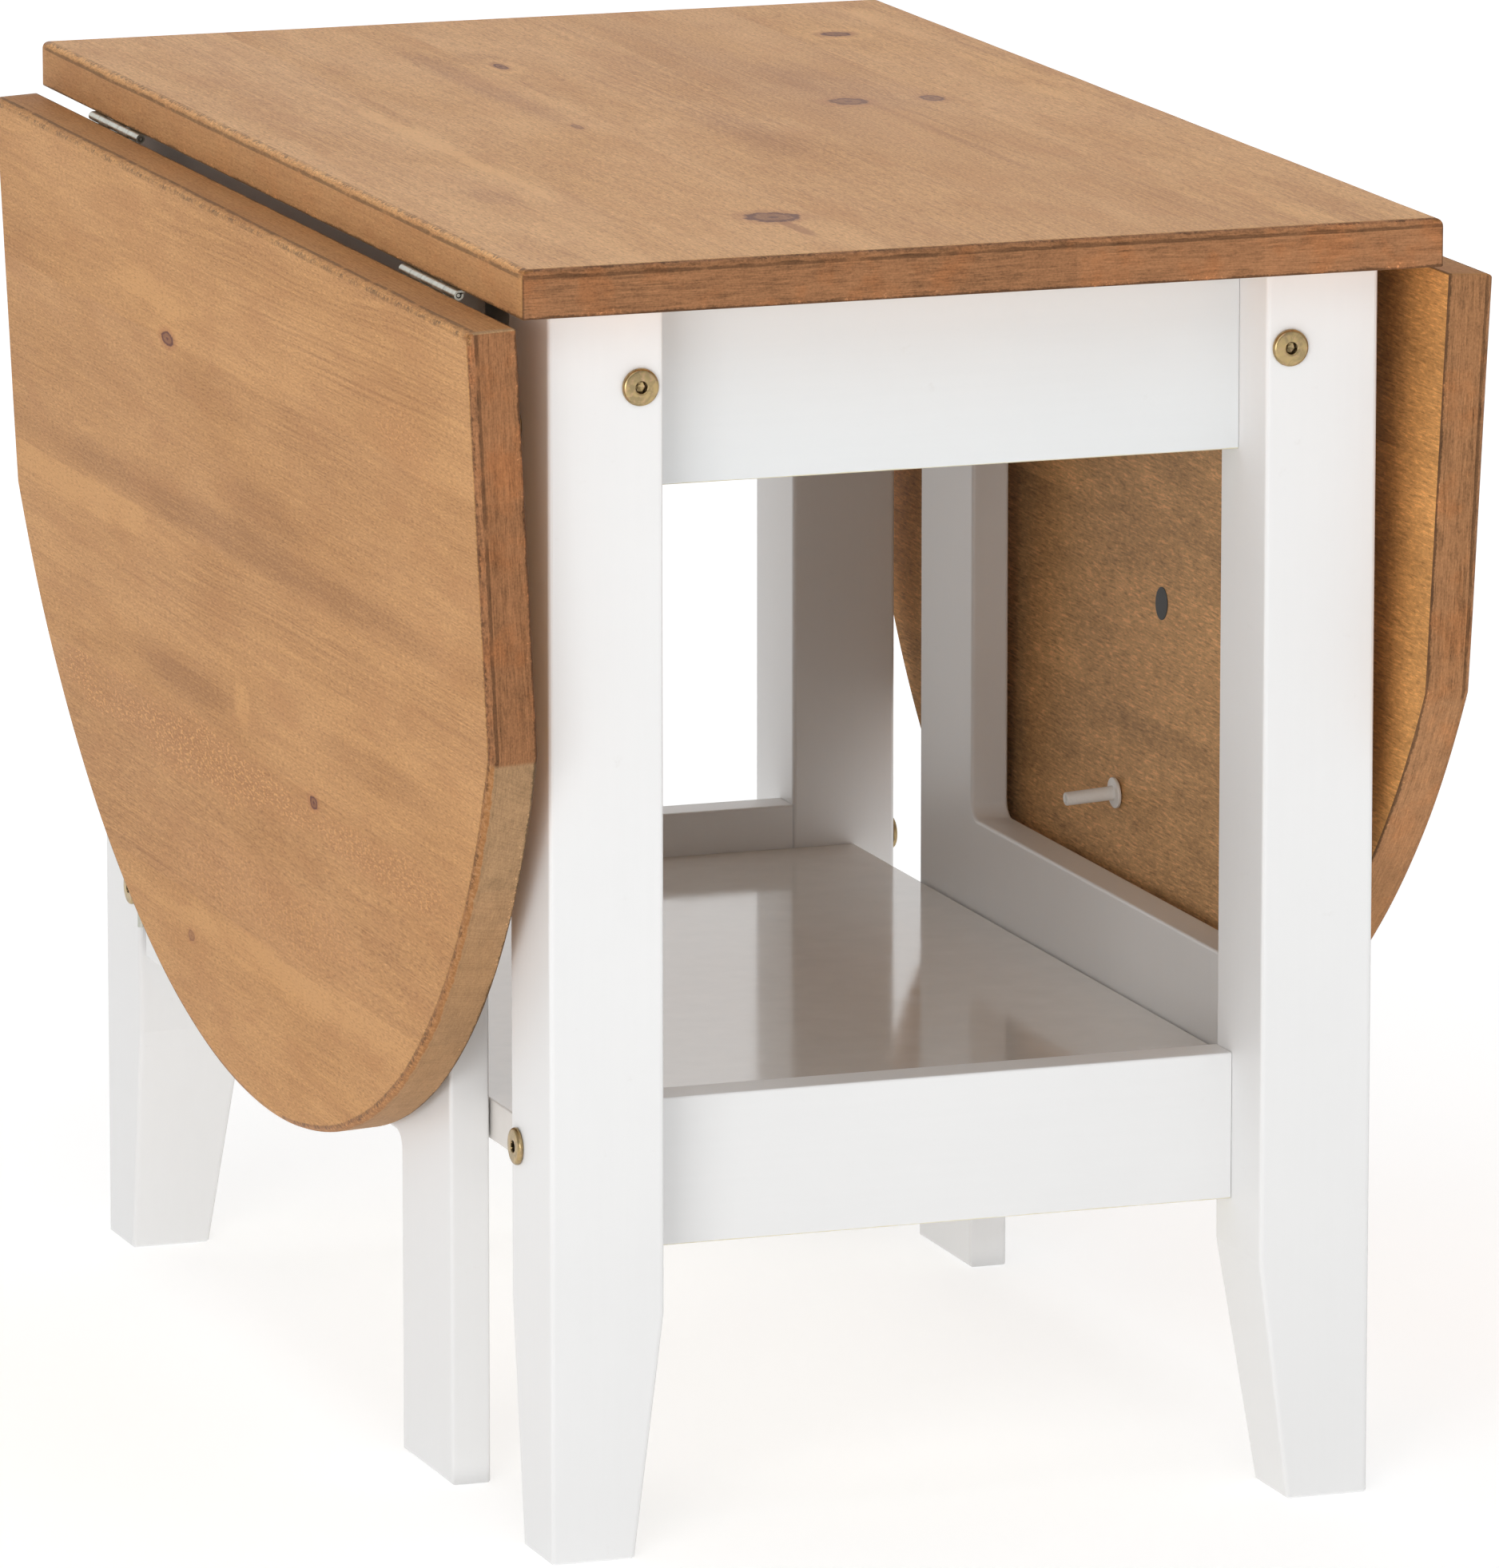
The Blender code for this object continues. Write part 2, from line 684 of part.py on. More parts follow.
def main():
    clear_scene()
    materials = {
        "pine": make_material("waxed_pine", (0.56, 0.36, 0.19), 0.42),
        "white_paint": make_material("white_paint", (0.84, 0.83, 0.81), 0.35),
        "bare_wood": make_material("bare_wood", (0.62, 0.45, 0.28), 0.60),
        "steel": make_material("nickel_steel", (0.62, 0.60, 0.57), 0.30, 1.0),
        "zinc": make_material("yellow_zinc", (0.66, 0.52, 0.24), 0.30, 1.0),
        "white_plastic": make_material("white_plastic", (0.86, 0.85, 0.83), 0.35),
    }
    build_top(materials)
    build_legs(materials)
    build_rails(materials)
    for side, turn in (("left", 0), ("right", math.pi)):
        half = make_empty(f"half_{side}", rotation=(0, 0, turn))
        build_leaf(side, half, materials)
        build_gate(side, half, materials)


main()
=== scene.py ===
import json
import math

import bmesh
import bpy
from mathutils import Matrix, Vector, noise


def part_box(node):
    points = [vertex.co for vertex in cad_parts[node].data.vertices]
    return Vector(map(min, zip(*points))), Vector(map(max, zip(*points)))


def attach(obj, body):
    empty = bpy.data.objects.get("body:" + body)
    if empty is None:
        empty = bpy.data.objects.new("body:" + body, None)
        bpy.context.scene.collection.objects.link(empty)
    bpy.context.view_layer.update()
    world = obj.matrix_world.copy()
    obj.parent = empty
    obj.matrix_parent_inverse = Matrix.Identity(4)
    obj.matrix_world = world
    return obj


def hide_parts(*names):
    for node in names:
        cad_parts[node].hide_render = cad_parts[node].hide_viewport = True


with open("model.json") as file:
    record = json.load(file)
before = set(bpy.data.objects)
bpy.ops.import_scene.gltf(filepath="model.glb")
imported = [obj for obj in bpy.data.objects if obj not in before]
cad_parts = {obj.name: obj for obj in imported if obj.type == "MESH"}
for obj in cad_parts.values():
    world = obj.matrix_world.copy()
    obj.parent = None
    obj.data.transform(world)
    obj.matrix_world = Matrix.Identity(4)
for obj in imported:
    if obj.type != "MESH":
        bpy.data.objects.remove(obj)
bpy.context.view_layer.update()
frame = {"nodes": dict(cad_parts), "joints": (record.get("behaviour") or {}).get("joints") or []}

# ---- dimensions read from the frame
NODES = frame["nodes"]
JOINTS = {joint["name"]: joint for joint in frame["joints"]}
LEAF_AXIS = Vector(JOINTS["leaf_left_hinge"]["pos_m"])
LEAF_DROP = math.radians(JOINTS["leaf_left_hinge"]["range_deg"][1])
GATE_AXIS = Vector(JOINTS["gate_left_swing"]["pos_m"])
TOP_LOW, TOP_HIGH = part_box("top_panel")
TOP_THICKNESS = TOP_HIGH.z - TOP_LOW.z
HALF_LENGTH = TOP_HIGH.y

# Leaf shape in its own raised frame, whose origin is on the hinge axis
LEAF_EDGE = -0.0011
LEAF_REACH = 0.545
LEAF_SIDE = 0.242
LEAF_TOP = TOP_HIGH.z - LEAF_AXIS.z

# Roundings of the top's and the leaves' edges, and how finely and unevenly they are made
ARRIS = 0.005
UNDER_ARRIS = 0.001
CORNER = 0.0013
CORNER_STEPS = 4
OUTLINE_STEP = 0.01
TOP_UNEVENNESS = 0.14

SHARP_ANGLE = 30
QUARTER_TURN = math.radians(90)
TINY = 1e-6

# The table's right half is its left half turned round
HALVES = {"left": Matrix.Identity(4), "right": Matrix.Rotation(math.pi, 4, "Z")}


def leaf_frame(side):
    """From the raised leaf's frame, with its origin on the hinge axis, to where the leaf hangs."""
    return HALVES[side] @ Matrix.Translation(LEAF_AXIS) @ Matrix.Rotation(-LEAF_DROP, 4, "Y")


def gate_frame(side):
    """From a frame with its Z axis on the gate's hinge pins to where the gate is."""
    return HALVES[side] @ Matrix.Translation((GATE_AXIS.x, GATE_AXIS.y, 0))


# ---- making materials
class Graph:
    """Short calls for building one material's nodes."""

    def __init__(self, name):
        self.material = bpy.data.materials.new(name)
        self.material.use_nodes = True
        self.tree = self.material.node_tree
        self.tree.nodes.clear()
        self.output = self.tree.nodes.new("ShaderNodeOutputMaterial")

    def put(self, socket, value):
        if isinstance(value, bpy.types.NodeSocket):
            self.tree.links.new(value, socket)
        elif isinstance(value, tuple) and len(value) == 3 and socket.type == "RGBA":
            socket.default_value = (*value, 1.0)
        else:
            socket.default_value = value

    def add(self, kind, sockets=None, **settings):
        node = self.tree.nodes.new("ShaderNode" + kind)
        for key, value in settings.items():
            setattr(node, key, value)
        for key, value in (sockets or {}).items():
            self.put(node.inputs[key], value)
        return node

    def coordinate(self, which):
        return self.add("TexCoord").outputs[which]

    def math(self, operation, a, b=0.0, c=0.0):
        return self.add("Math", {0: a, 1: b, 2: c}, operation=operation).outputs[0]

    def vector(self, operation, a, b=(0.0, 0.0, 0.0)):
        node = self.add("VectorMath", {0: a, 1: b}, operation=operation)
        return node.outputs["Value" if operation == "LENGTH" else "Vector"]

    def split(self, a):
        return self.add("SeparateXYZ", {0: a}).outputs[:3]

    def placed(self, a, matrix, kind="POINT"):
        """The point, or with kind VECTOR the direction, taken through a matrix."""
        sockets = {"Vector": a, "Rotation": tuple(matrix.to_euler())}
        if kind == "POINT":
            sockets["Location"] = tuple(matrix.translation)
        return self.add("Mapping", sockets, vector_type=kind).outputs[0]

    def noise(self, at, stretch, detail=2.0, roughness=0.5, distortion=0.0):
        """Noise with about stretch waves to the metre along each axis."""
        sockets = {
            "Vector": self.vector("MULTIPLY", at, stretch),
            "Scale": 1.0,
            "Detail": detail,
            "Roughness": roughness,
            "Distortion": distortion,
        }
        return self.add("TexNoise", sockets).outputs[0]

    def between(self, a, low, high, out_low=0.0, out_high=1.0):
        """A smooth step from out_low where a is low to out_high where it is high."""
        sockets = {0: a, 1: low, 2: high, 3: out_low, 4: out_high}
        node = self.add("MapRange", sockets, interpolation_type="SMOOTHSTEP", clamp=True)
        return node.outputs[0]

    def times(self, a, b):
        return self.math("MULTIPLY", a, b)

    def larger(self, a, b):
        return self.math("MAXIMUM", a, b)

    def linear(self, a, factor, offset=0.0):
        return self.math("MULTIPLY_ADD", a, factor, offset)

    def total(self, start, *terms):
        """start plus each noise's distance from its middle, times its weight."""
        for value, weight in terms:
            start = self.math("ADD", start, self.linear(value, weight, -weight / 2))
        return start

    def ellipse(self, at, u, v, half_u, half_v):
        """The distance from an ellipse's centre, which is 1 at its edge."""
        offset = self.vector("SUBTRACT", at, (u, v, 0.0))
        scaled = self.vector("MULTIPLY", offset, (1 / half_u, 1 / half_v, 0.0))
        return self.vector("LENGTH", scaled)

    def mix(self, amount, a, b, blend="MIX"):
        node = self.add("Mix", data_type="RGBA", blend_type=blend)
        for socket, value in ((node.inputs[0], amount), (node.inputs[6], a), (node.inputs[7], b)):
            self.put(socket, value)
        return node.outputs[2]

    def shade(self, color, amount):
        """The colour with its brightness multiplied by amount."""
        node = self.add("VectorMath", {0: color}, operation="SCALE")
        self.put(node.inputs["Scale"], amount)
        return node.outputs["Vector"]

    def lift(self, color, mask, change):
        """The colour, brighter by change where mask is 1, or darker where change is negative."""
        return self.shade(color, self.linear(mask, change, 1.0))

    def bump(self, height, distance, strength=1.0, under=None):
        sockets = {"Height": height, "Distance": distance, "Strength": strength}
        if under is not None:
            sockets["Normal"] = under
        return self.add("Bump", sockets).outputs[0]

    def finish(self, sockets):
        shader = self.add("BsdfPrincipled", sockets)
        self.tree.links.new(shader.outputs[0], self.output.inputs["Surface"])
        return self.material


# Colours that the top and both leaves share. The underside's end tint and RUDDY multiply what they
# lie on; the end tint is painted light, the golden look the underside has near its ends where
# light reaches it.
TORN_RED = (0.4, 0.16, 0.045)
LIT_END_TINT = (0.95, 0.8, 0.58)
RUDDY = (1.09, 0.95, 0.82)
BARE_CUT = (0.64, 0.39, 0.2)
ROUTED_BROWN = (0.33, 0.14, 0.044)
KNOT_GLOW = (0.36, 0.11, 0.028)
KNOT_CORE = (0.105, 0.016, 0.003)


def pine(
    name, board_frame, seed, seams, tones, knots, stain,
    marks=(), chips=(), cut_edge=0.0, corner_lines=False,
):
    """Waxed knotty pine, edge-glued from boards that run along v.

    board_frame takes an object's coordinates to (u across the boards, v along the grain, w up
    from the show face). In it,
    seams are the glue lines' u, and tones say how much darker each board is;
    knots are (u, v, half width, half length, darkness, strength of a pale ring);
    marks are soft darker or lighter places, (u, v, half width, half length, darkness);
    chips are patches of torn grain, (u, v, half width, half length, strength).
    stain holds the colours. cut_edge is how pale the edge's curved part is, and corner_lines
    darkens the upright corners.
    """
    light, dark, red, edge_color, under_color = stain
    g = Graph(name)
    at = g.placed(g.coordinate("Object"), board_frame)
    u, v, w = g.split(at)
    facing = g.placed(g.coordinate("Normal"), board_frame, "VECTOR")
    across, along, up = g.split(facing)
    across = g.math("ABSOLUTE", across)
    along = g.math("ABSOLUTE", along)
    flatness = g.math("ABSOLUTE", up)
    side = g.between(flatness, 0.9, 0.3)
    underneath = g.between(up, -0.5, -0.98)

    index = seed
    tone = tones[0]
    for seam, before, after in zip(seams, tones, tones[1:]):
        beyond = g.math("GREATER_THAN", u, seam)
        index = g.math("ADD", index, beyond)
        tone = g.linear(beyond, after - before, tone)
    own = g.add("TexWhiteNoise", {"W": index}, noise_dimensions="1D").outputs["Color"]
    own_a, own_b, own_c = g.split(own)
    moved = g.vector("ADD", at, g.vector("MULTIPLY", own, (1.7, 2.9, 1.3)))

    # Knots: each bends the growth rings round itself and has a dark core, darkest at rim and pith
    rough_edge = g.noise(at, (170, 110, 170), 3.0, 0.65)
    swirl = 0.0
    core = 0.0
    glow = 0.0
    pale_ring = 0.0
    for ku, kv, half_u, half_v, darkness, ring in knots:
        distance = g.ellipse(at, ku, kv, half_u, half_v)
        worn = g.math("ADD", distance, g.linear(rough_edge, 0.9, -0.45))
        falloff = g.math("EXPONENT", g.times(g.times(distance, distance), -0.14))
        swirl = g.linear(falloff, half_u * 1.2, swirl)
        rim = g.between(g.math("ABSOLUTE", g.math("SUBTRACT", worn, 0.86)), 0.24, 0.05, 0.62, 1.0)
        pith = g.between(g.math("ADD", distance, g.times(rough_edge, 0.3)), 0.5, 0.3)
        rim = g.larger(rim, pith)
        inside = g.between(worn, 1.14, 0.9, 0.0, darkness)
        core = g.larger(core, g.times(inside, rim))
        glow = g.larger(glow, g.between(worn, 2.1, 0.9, 0.0, darkness))
        if ring:
            halo = g.times(g.between(worn, 1.1, 1.9), g.between(worn, 4.0, 2.0, 0.0, ring))
            pale_ring = g.larger(pale_ring, halo)

    # Growth rings about a centre of each board's own
    wander = g.noise(moved, (5.5, 1.1, 5.5), 2.0, 0.5)
    ring_u = g.math("ADD", u, g.linear(own_a, 0.2, -0.1))
    ring_w = g.math("ADD", w, g.linear(own_b, 0.1, 0.03))
    squares = g.math("ADD", g.times(ring_u, ring_u), g.times(ring_w, ring_w))
    reach = g.linear(wander, 0.04, g.math("SQRT", squares))
    reach = g.math("ADD", reach, swirl)
    spread = g.add("TexNoise", {"W": g.times(reach, 70), "Detail": 1.0}, noise_dimensions="1D")
    phase = g.linear(spread.outputs[0], 2.6, g.times(reach, 210))
    turn = g.math("FRACT", phase)
    late = g.times(g.between(turn, 0.2, 0.9), g.between(turn, 1.0, 0.9))
    shown = g.between(g.noise(moved, (14, 2.4, 14), 2.0, 0.5), 0.46, 0.66)
    late = g.times(late, shown)

    # Colour: board, cloud, mark, streak, fibre and pores
    cloud = g.noise(moved, (12, 3.2, 12), 3.0, 0.55, 0.6)
    patch = g.noise(moved, (40, 11, 40), 3.0, 0.6, 0.5)
    streak = g.noise(moved, (210, 6.0, 210), 4.0, 0.62, 0.2)
    fibre = g.noise(moved, (640, 19, 640), 3.0, 0.65)
    fine = g.noise(moved, (1100, 200, 1100), 2.0, 0.6)
    depth = g.linear(late, 0.34, g.math("ADD", tone, 0.38))
    for mu, mv, half_u, half_v, darkness in marks:
        distance = g.ellipse(at, mu, mv, half_u, half_v)
        worn = g.total(distance, (patch, 1.4), (streak, 0.9))
        depth = g.linear(g.between(worn, 1.2, 0.4), darkness, depth)
    depth = g.total(
        depth, (cloud, 0.65), (patch, 0.42), (streak, 0.62), (fibre, 1.15), (fine, 1.25)
    )
    depth = g.linear(pale_ring, -0.5, depth)
    color = g.mix(g.larger(g.math("MINIMUM", depth, 1.2), -0.2), light, dark)
    color = g.mix(g.between(patch, 0.46, 0.72, 0.0, 0.35), color, red)
    color = g.lift(color, g.between(fine, 0.56, 0.66), -0.15)
    color = g.lift(color, g.between(fine, 0.4, 0.3), 0.14)

    # Torn grain: a redder patch with pale chips
    torn = g.noise(at, (600, 190, 600), 2.0, 0.6)
    spot = g.between(torn, 0.53, 0.58)
    chipped = 0.0
    for cu, cv, half_u, half_v, strength in chips:
        ragged = g.total(g.ellipse(at, cu, cv, half_u, half_v), (patch, 2.2), (streak, 1.0))
        chipped = g.larger(chipped, g.between(ragged, 1.2, 0.6, 0.0, strength))
    reddened = g.times(chipped, g.between(torn, 0.38, 0.52, 0.15, 0.62))
    color = g.mix(reddened, color, TORN_RED)
    spot = g.times(spot, chipped)
    color = g.mix(g.times(spot, 0.95), color, g.shade(light, 1.12))

    # Underside: not sanded, with short pale hairs lying along the grain
    hair = g.noise(moved, (780, 75, 780), 3.0, 0.6, 0.4)
    fuzz = g.noise(moved, (560, 210, 560), 3.0, 0.65)
    raw = g.shade(under_color, g.total(0.96, (cloud, 0.8), (patch, 0.6), (fuzz, 0.85)))
    raw = g.lift(raw, g.between(hair, 0.53, 0.62), 0.3)
    raw = g.lift(raw, g.between(hair, 0.44, 0.34), -0.3)
    # Painted light: near both ends the underside is tinted golden, the look it has where light
    # reaches it near the front
    lit_end = g.between(g.math("ABSOLUTE", v), 0.33, 0.42)
    raw = g.mix(lit_end, raw, LIT_END_TINT, "MULTIPLY")
    color = g.mix(underneath, color, raw)

    # Edges: streaks that follow the edge, deeper stain on end grain, and pale cuts on the curve.
    # heading is 0 where an edge looks across the boards and 1 where it looks along the grain.
    level = g.math("SQRT", g.larger(g.math("SUBTRACT", 1.0, g.times(up, up)), 0.0001))
    heading = g.math("DIVIDE", along, level)
    wear = g.noise(at, (34, 34, 34), 3.0, 0.6)
    blot = g.noise(at, (60, 60, 130), 4.0, 0.65)
    run = g.noise(at, (20, 20, 480), 3.0, 0.65, 0.6)
    dash = g.noise(at, (95, 95, 1300), 3.0, 0.65)
    grit = g.noise(at, (650, 650, 900), 3.0, 0.7)
    speck = g.noise(at, (430, 430, 430), 3.0, 0.7)
    deep = g.total(0.95, (run, 1.0), (dash, 1.1), (grit, 1.0), (blot, 0.8), (own_c, 0.25))
    edge = g.shade(edge_color, deep)
    blotched = g.shade(edge_color, g.total(0.82, (grit, 0.9)))
    edge = g.mix(g.between(blot, 0.52, 0.66, 0.0, 0.55), edge, blotched)
    ruddy = g.vector("MULTIPLY", edge, RUDDY)
    edge = g.mix(g.between(wear, 0.48, 0.66, 0.0, 0.8), edge, ruddy)
    curved = g.times(g.between(heading, 0.96, 0.93), g.between(heading, 0.02, 0.1))
    pale = g.linear(own_b, 0.5, 0.75)
    pale = g.times(g.times(curved, pale), cut_edge)
    brightness = g.total(0.62, (grit, 0.5), (dash, 0.3), (blot, 0.4), (own_a, 0.22))
    bare = g.shade(BARE_CUT, brightness)
    bare = g.shade(bare, g.linear(turn, -0.16, 1.06))
    edge = g.mix(pale, edge, bare)
    start = g.total(flatness, (grit, 0.05))
    end_grain = g.times(g.between(start, 0.985, 0.95), g.between(heading, 0.4, 0.85, 0.0, 0.97))
    amount = g.larger(end_grain, g.times(side, g.larger(pale, 0.42)))
    color = g.mix(amount, color, edge)

    # Arrises: a broken dark line at each side of the rounding, speckles between, a dark bottom rim
    rough_up = g.total(up, (speck, 0.35), (blot, 0.6))
    rim = g.times(g.between(up, 0.999, 0.985), g.between(rough_up, 0.8, 0.92))
    broken = g.times(g.between(speck, 0.38, 0.56), g.between(blot, 0.4, 0.58, 0.2, 1.6))
    rim = g.times(rim, broken)
    line = g.times(g.between(up, 0.01, 0.06), g.between(rough_up, 0.44, 0.26))
    line = g.times(line, g.between(g.total(0.5, (blot, 0.7), (wear, 0.6)), 0.68, 0.54))
    line = g.times(line, g.linear(curved, -0.8, 1.0))
    middle = g.times(g.between(up, 0.3, 0.5), g.between(up, 0.96, 0.85))
    middle = g.times(middle, g.between(speck, 0.6, 0.42, -1.0, 1.0))
    height = g.math("ADD", g.total(w, (speck, 0.003), (wear, 0.004)), TOP_THICKNESS)
    under = g.times(g.between(height, 0.0018, 0.0008), g.between(up, -0.995, -0.92))
    band = g.times(g.between(height, 0.0014, 0.0022), g.between(height, 0.006, 0.003))
    chip = g.times(g.times(band, side), g.between(speck, 0.58, 0.66))
    chip = g.times(chip, g.between(wear, 0.48, 0.56))
    if corner_lines:
        corner = g.times(g.times(across, along), side)
        line = g.larger(line, g.between(corner, 0.1, 0.35))
    routed = g.times(g.between(rough_up, 0.3, 0.42), g.between(up, 0.999, 0.975))
    routed = g.times(routed, g.times(curved, g.between(speck, 0.34, 0.5, 0.45, 0.85)))
    color = g.mix(routed, color, ROUTED_BROWN)
    color = g.lift(color, rim, -0.3)
    color = g.lift(color, line, -0.46)
    color = g.lift(color, under, -0.6)
    color = g.lift(color, middle, 0.14)
    color = g.lift(color, chip, 0.8)

    # Knots, over all of it
    color = g.mix(g.times(glow, 0.42), color, KNOT_GLOW)
    color = g.mix(g.times(core, 0.97), color, KNOT_CORE)

    # Relief and gloss
    relief = g.total(0.0, (fibre, 0.8), (fine, 0.6), (late, 0.2))
    relief = g.math("SUBTRACT", relief, g.times(core, 0.6))
    relief = g.linear(spot, 1.6, relief)
    normal = g.bump(relief, 0.00009)
    rough_band = g.times(g.between(flatness, 0.995, 0.85), g.between(flatness, 0.02, 0.4))
    coarse = g.total(0.0, (fuzz, 1.0), (hair, 0.5))
    coarse = g.times(coarse, g.larger(underneath, g.times(rough_band, 0.6)))
    normal = g.bump(coarse, 0.0003, 0.8, normal)
    sheen = g.total(0.48, (cloud, 0.12), (fine, 0.12))
    sheen = g.linear(g.larger(underneath, side), 0.16, sheen)
    return g.finish(
        {"Base Color": color, "Roughness": sheen, "Normal": normal, "Specular IOR Level": 0.15}
    )


PAINT_DIRT = (0.45, 0.4, 0.33)
RUBBED_ARRIS = (0.66, 0.58, 0.34)


def paint(name, tone, roughness, grain, bare_line=None):
    """White satin paint over wood.

    grain stretches the wood's texture, and bare_line is the height of a bottom arris where the
    paint is rubbed through.
    """
    g = Graph(name)
    at = g.coordinate("Object")
    patch = g.noise(at, (9, 9, 9), 3.0, 0.55)
    wood = g.noise(at, grain, 3.0, 0.6)
    peel = g.noise(at, (900, 900, 900), 2.0, 0.5)
    color = g.shade(tone, g.linear(patch, 0.05, 0.975))
    color = g.shade(color, g.linear(wood, 0.02, 0.99))
    dirt = g.between(g.noise(at, (70, 70, 70), 4.0, 0.7), 0.66, 0.8)
    color = g.mix(g.times(dirt, 0.1), color, PAINT_DIRT)
    if bare_line is not None:
        height = g.split(at)[2]
        ragged = g.linear(g.noise(at, (60, 60, 60), 2.0, 0.6), 0.001, height)
        rubbed = g.between(ragged, bare_line + 0.0016, bare_line + 0.0008)
        color = g.mix(g.times(rubbed, 0.75), color, RUBBED_ARRIS)
    normal = g.bump(peel, 0.00002)
    normal = g.bump(wood, 0.00005, 0.7, normal)
    rough = g.linear(patch, 0.1, roughness - 0.05)
    rough = g.linear(wood, 0.05, rough)
    return g.finish({"Base Color": color, "Roughness": rough, "Normal": normal})


def metal(name, tones, roughness, scratch):
    """Plated metal whose tone drifts between the given ones, with fine scratches."""
    g = Graph(name)
    at = g.coordinate("Object")
    drift = g.noise(at, (160, 160, 160), 2.0, 0.5, 0.8)
    other = g.noise(at, (420, 420, 420), 2.0, 0.5)
    lines = g.noise(at, scratch, 3.0, 0.65)
    color = g.mix(g.between(drift, 0.4, 0.62), tones[0], tones[1])
    color = g.mix(g.between(other, 0.52, 0.7, 0.0, 0.7), color, tones[2])
    color = g.shade(color, g.linear(lines, 0.24, 0.88))
    rough = g.linear(lines, 0.22, roughness - 0.08)
    normal = g.bump(lines, 0.00002, 0.6)
    return g.finish({"Base Color": color, "Roughness": rough, "Metallic": 1.0, "Normal": normal})


def plain(name, tone, roughness, speckle, depth=0.00004, gloss=0.5):
    """A dull or plastic surface with fine mottling."""
    g = Graph(name)
    at = g.coordinate("Object")
    fine = g.noise(at, speckle, 3.0, 0.6)
    soft = g.noise(at, (60, 60, 60), 2.0, 0.5)
    color = g.shade(tone, g.linear(fine, 0.12, 0.94))
    color = g.shade(color, g.linear(soft, 0.06, 0.97))
    rough = g.linear(fine, 0.14, roughness - 0.07)
    normal = g.bump(fine, depth)
    return g.finish(
        {"Base Color": color, "Roughness": rough, "Normal": normal, "Specular IOR Level": gloss}
    )


# ---- making meshes
def piece(name, mesh, material, body, slot, *replaced):
    """A finished object that rides on a body and stands for the CAD nodes named."""
    item = bpy.data.objects.new(name, mesh)
    bpy.context.scene.collection.objects.link(item)
    mesh.materials.clear()
    mesh.materials.append(material)
    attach(item, body)
    if replaced:
        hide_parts(*replaced)
    return item


def finish_mesh(name, bm, place=None, sharp=None):
    """The bmesh as a smooth-shaded mesh, with edges sharper than sharp degrees kept sharp."""
    if place is not None:
        bm.transform(place)
    bmesh.ops.recalc_face_normals(bm, faces=bm.faces)
    mesh = bpy.data.meshes.new(name)
    bm.to_mesh(mesh)
    bm.free()
    mesh.shade_smooth()
    if sharp is not None:
        mesh.set_sharp_from_angle(angle=math.radians(sharp))
    return mesh


def corner_sides(corner, before, after):
    """The directions from a corner to both its neighbours, and half the angle between them."""
    back = (before - corner).normalized()
    ahead = (after - corner).normalized()
    return back, ahead, math.acos(max(-1.0, min(1.0, back.dot(ahead)))) / 2


def corner_pivot(corner, before, after, radius):
    """A rounded corner's centre and radius, and how it moves as the outline moves in by 1."""
    back, ahead, half = corner_sides(corner, before, after)
    inward = (back + ahead).normalized() / math.sin(half)
    return corner + inward * radius, radius, inward


def near_pivot(point, pivots):
    """The rounded corner that the point is on, if any."""
    for center, radius, inward in pivots:
        if abs((point - center).length - radius) < TINY:
            return center, radius, inward
    return None


def moved_in(points, distances, pivots=()):
    """The counterclockwise outline with each point moved in by its own distance.

    The points of a rounded corner meet at one point once they have moved further than its radius.
    """
    out = []
    for i, point in enumerate(points):
        pivot = near_pivot(point, pivots)
        if pivot:
            center, radius, inward = pivot
            if distances[i] < radius:
                out.append(center + (point - center) * (1 - distances[i] / radius))
            else:
                out.append(center + inward * (distances[i] - radius))
            continue
        before = (point - points[i - 1]).normalized()
        after = (points[(i + 1) % len(points)] - point).normalized()
        n1 = Vector((-before.y, before.x))
        n2 = Vector((-after.y, after.x))
        out.append(point + (n1 + n2) * (distances[i] / (1 + n1.dot(n2))))
    return out


def along(points, step):
    """The closed outline with points added so that none is further than step from the next."""
    out = []
    for i, here in enumerate(points):
        there = points[(i + 1) % len(points)]
        count = max(1, math.ceil((there - here).length / step))
        out += [here.lerp(there, k / count) for k in range(count)]
    return out


def arc_corner(corner, before, after, radius, steps):
    """The points of a rounded corner, from the side of before to the side of after."""
    back, ahead, half = corner_sides(corner, before, after)
    center = corner + (back + ahead).normalized() * (radius / math.sin(half))
    start = corner + back * (radius / math.tan(half)) - center
    end = corner + ahead * (radius / math.tan(half)) - center
    turn = math.atan2(start.x * end.y - start.y * end.x, start.dot(end))
    first = math.atan2(start.y, start.x)
    angles = [first + turn * k / steps for k in range(steps + 1)]
    return [center + radius * Vector((math.cos(a), math.sin(a))) for a in angles]


def rounded(corners, radii, steps):
    """The outline with each corner rounded by its own radius, or left sharp where that is 0."""
    points = []
    for i, corner in enumerate(corners):
        if radii[i] == 0:
            points.append(corner)
        else:
            after = corners[(i + 1) % len(corners)]
            points += arc_corner(corner, corners[i - 1], after, radii[i], steps)
    return points


SUPPORT = 0.0007
OVER_STEPS = 6
UNDER_STEPS = 3
WAVES = 14
WAVE_SEED = 90


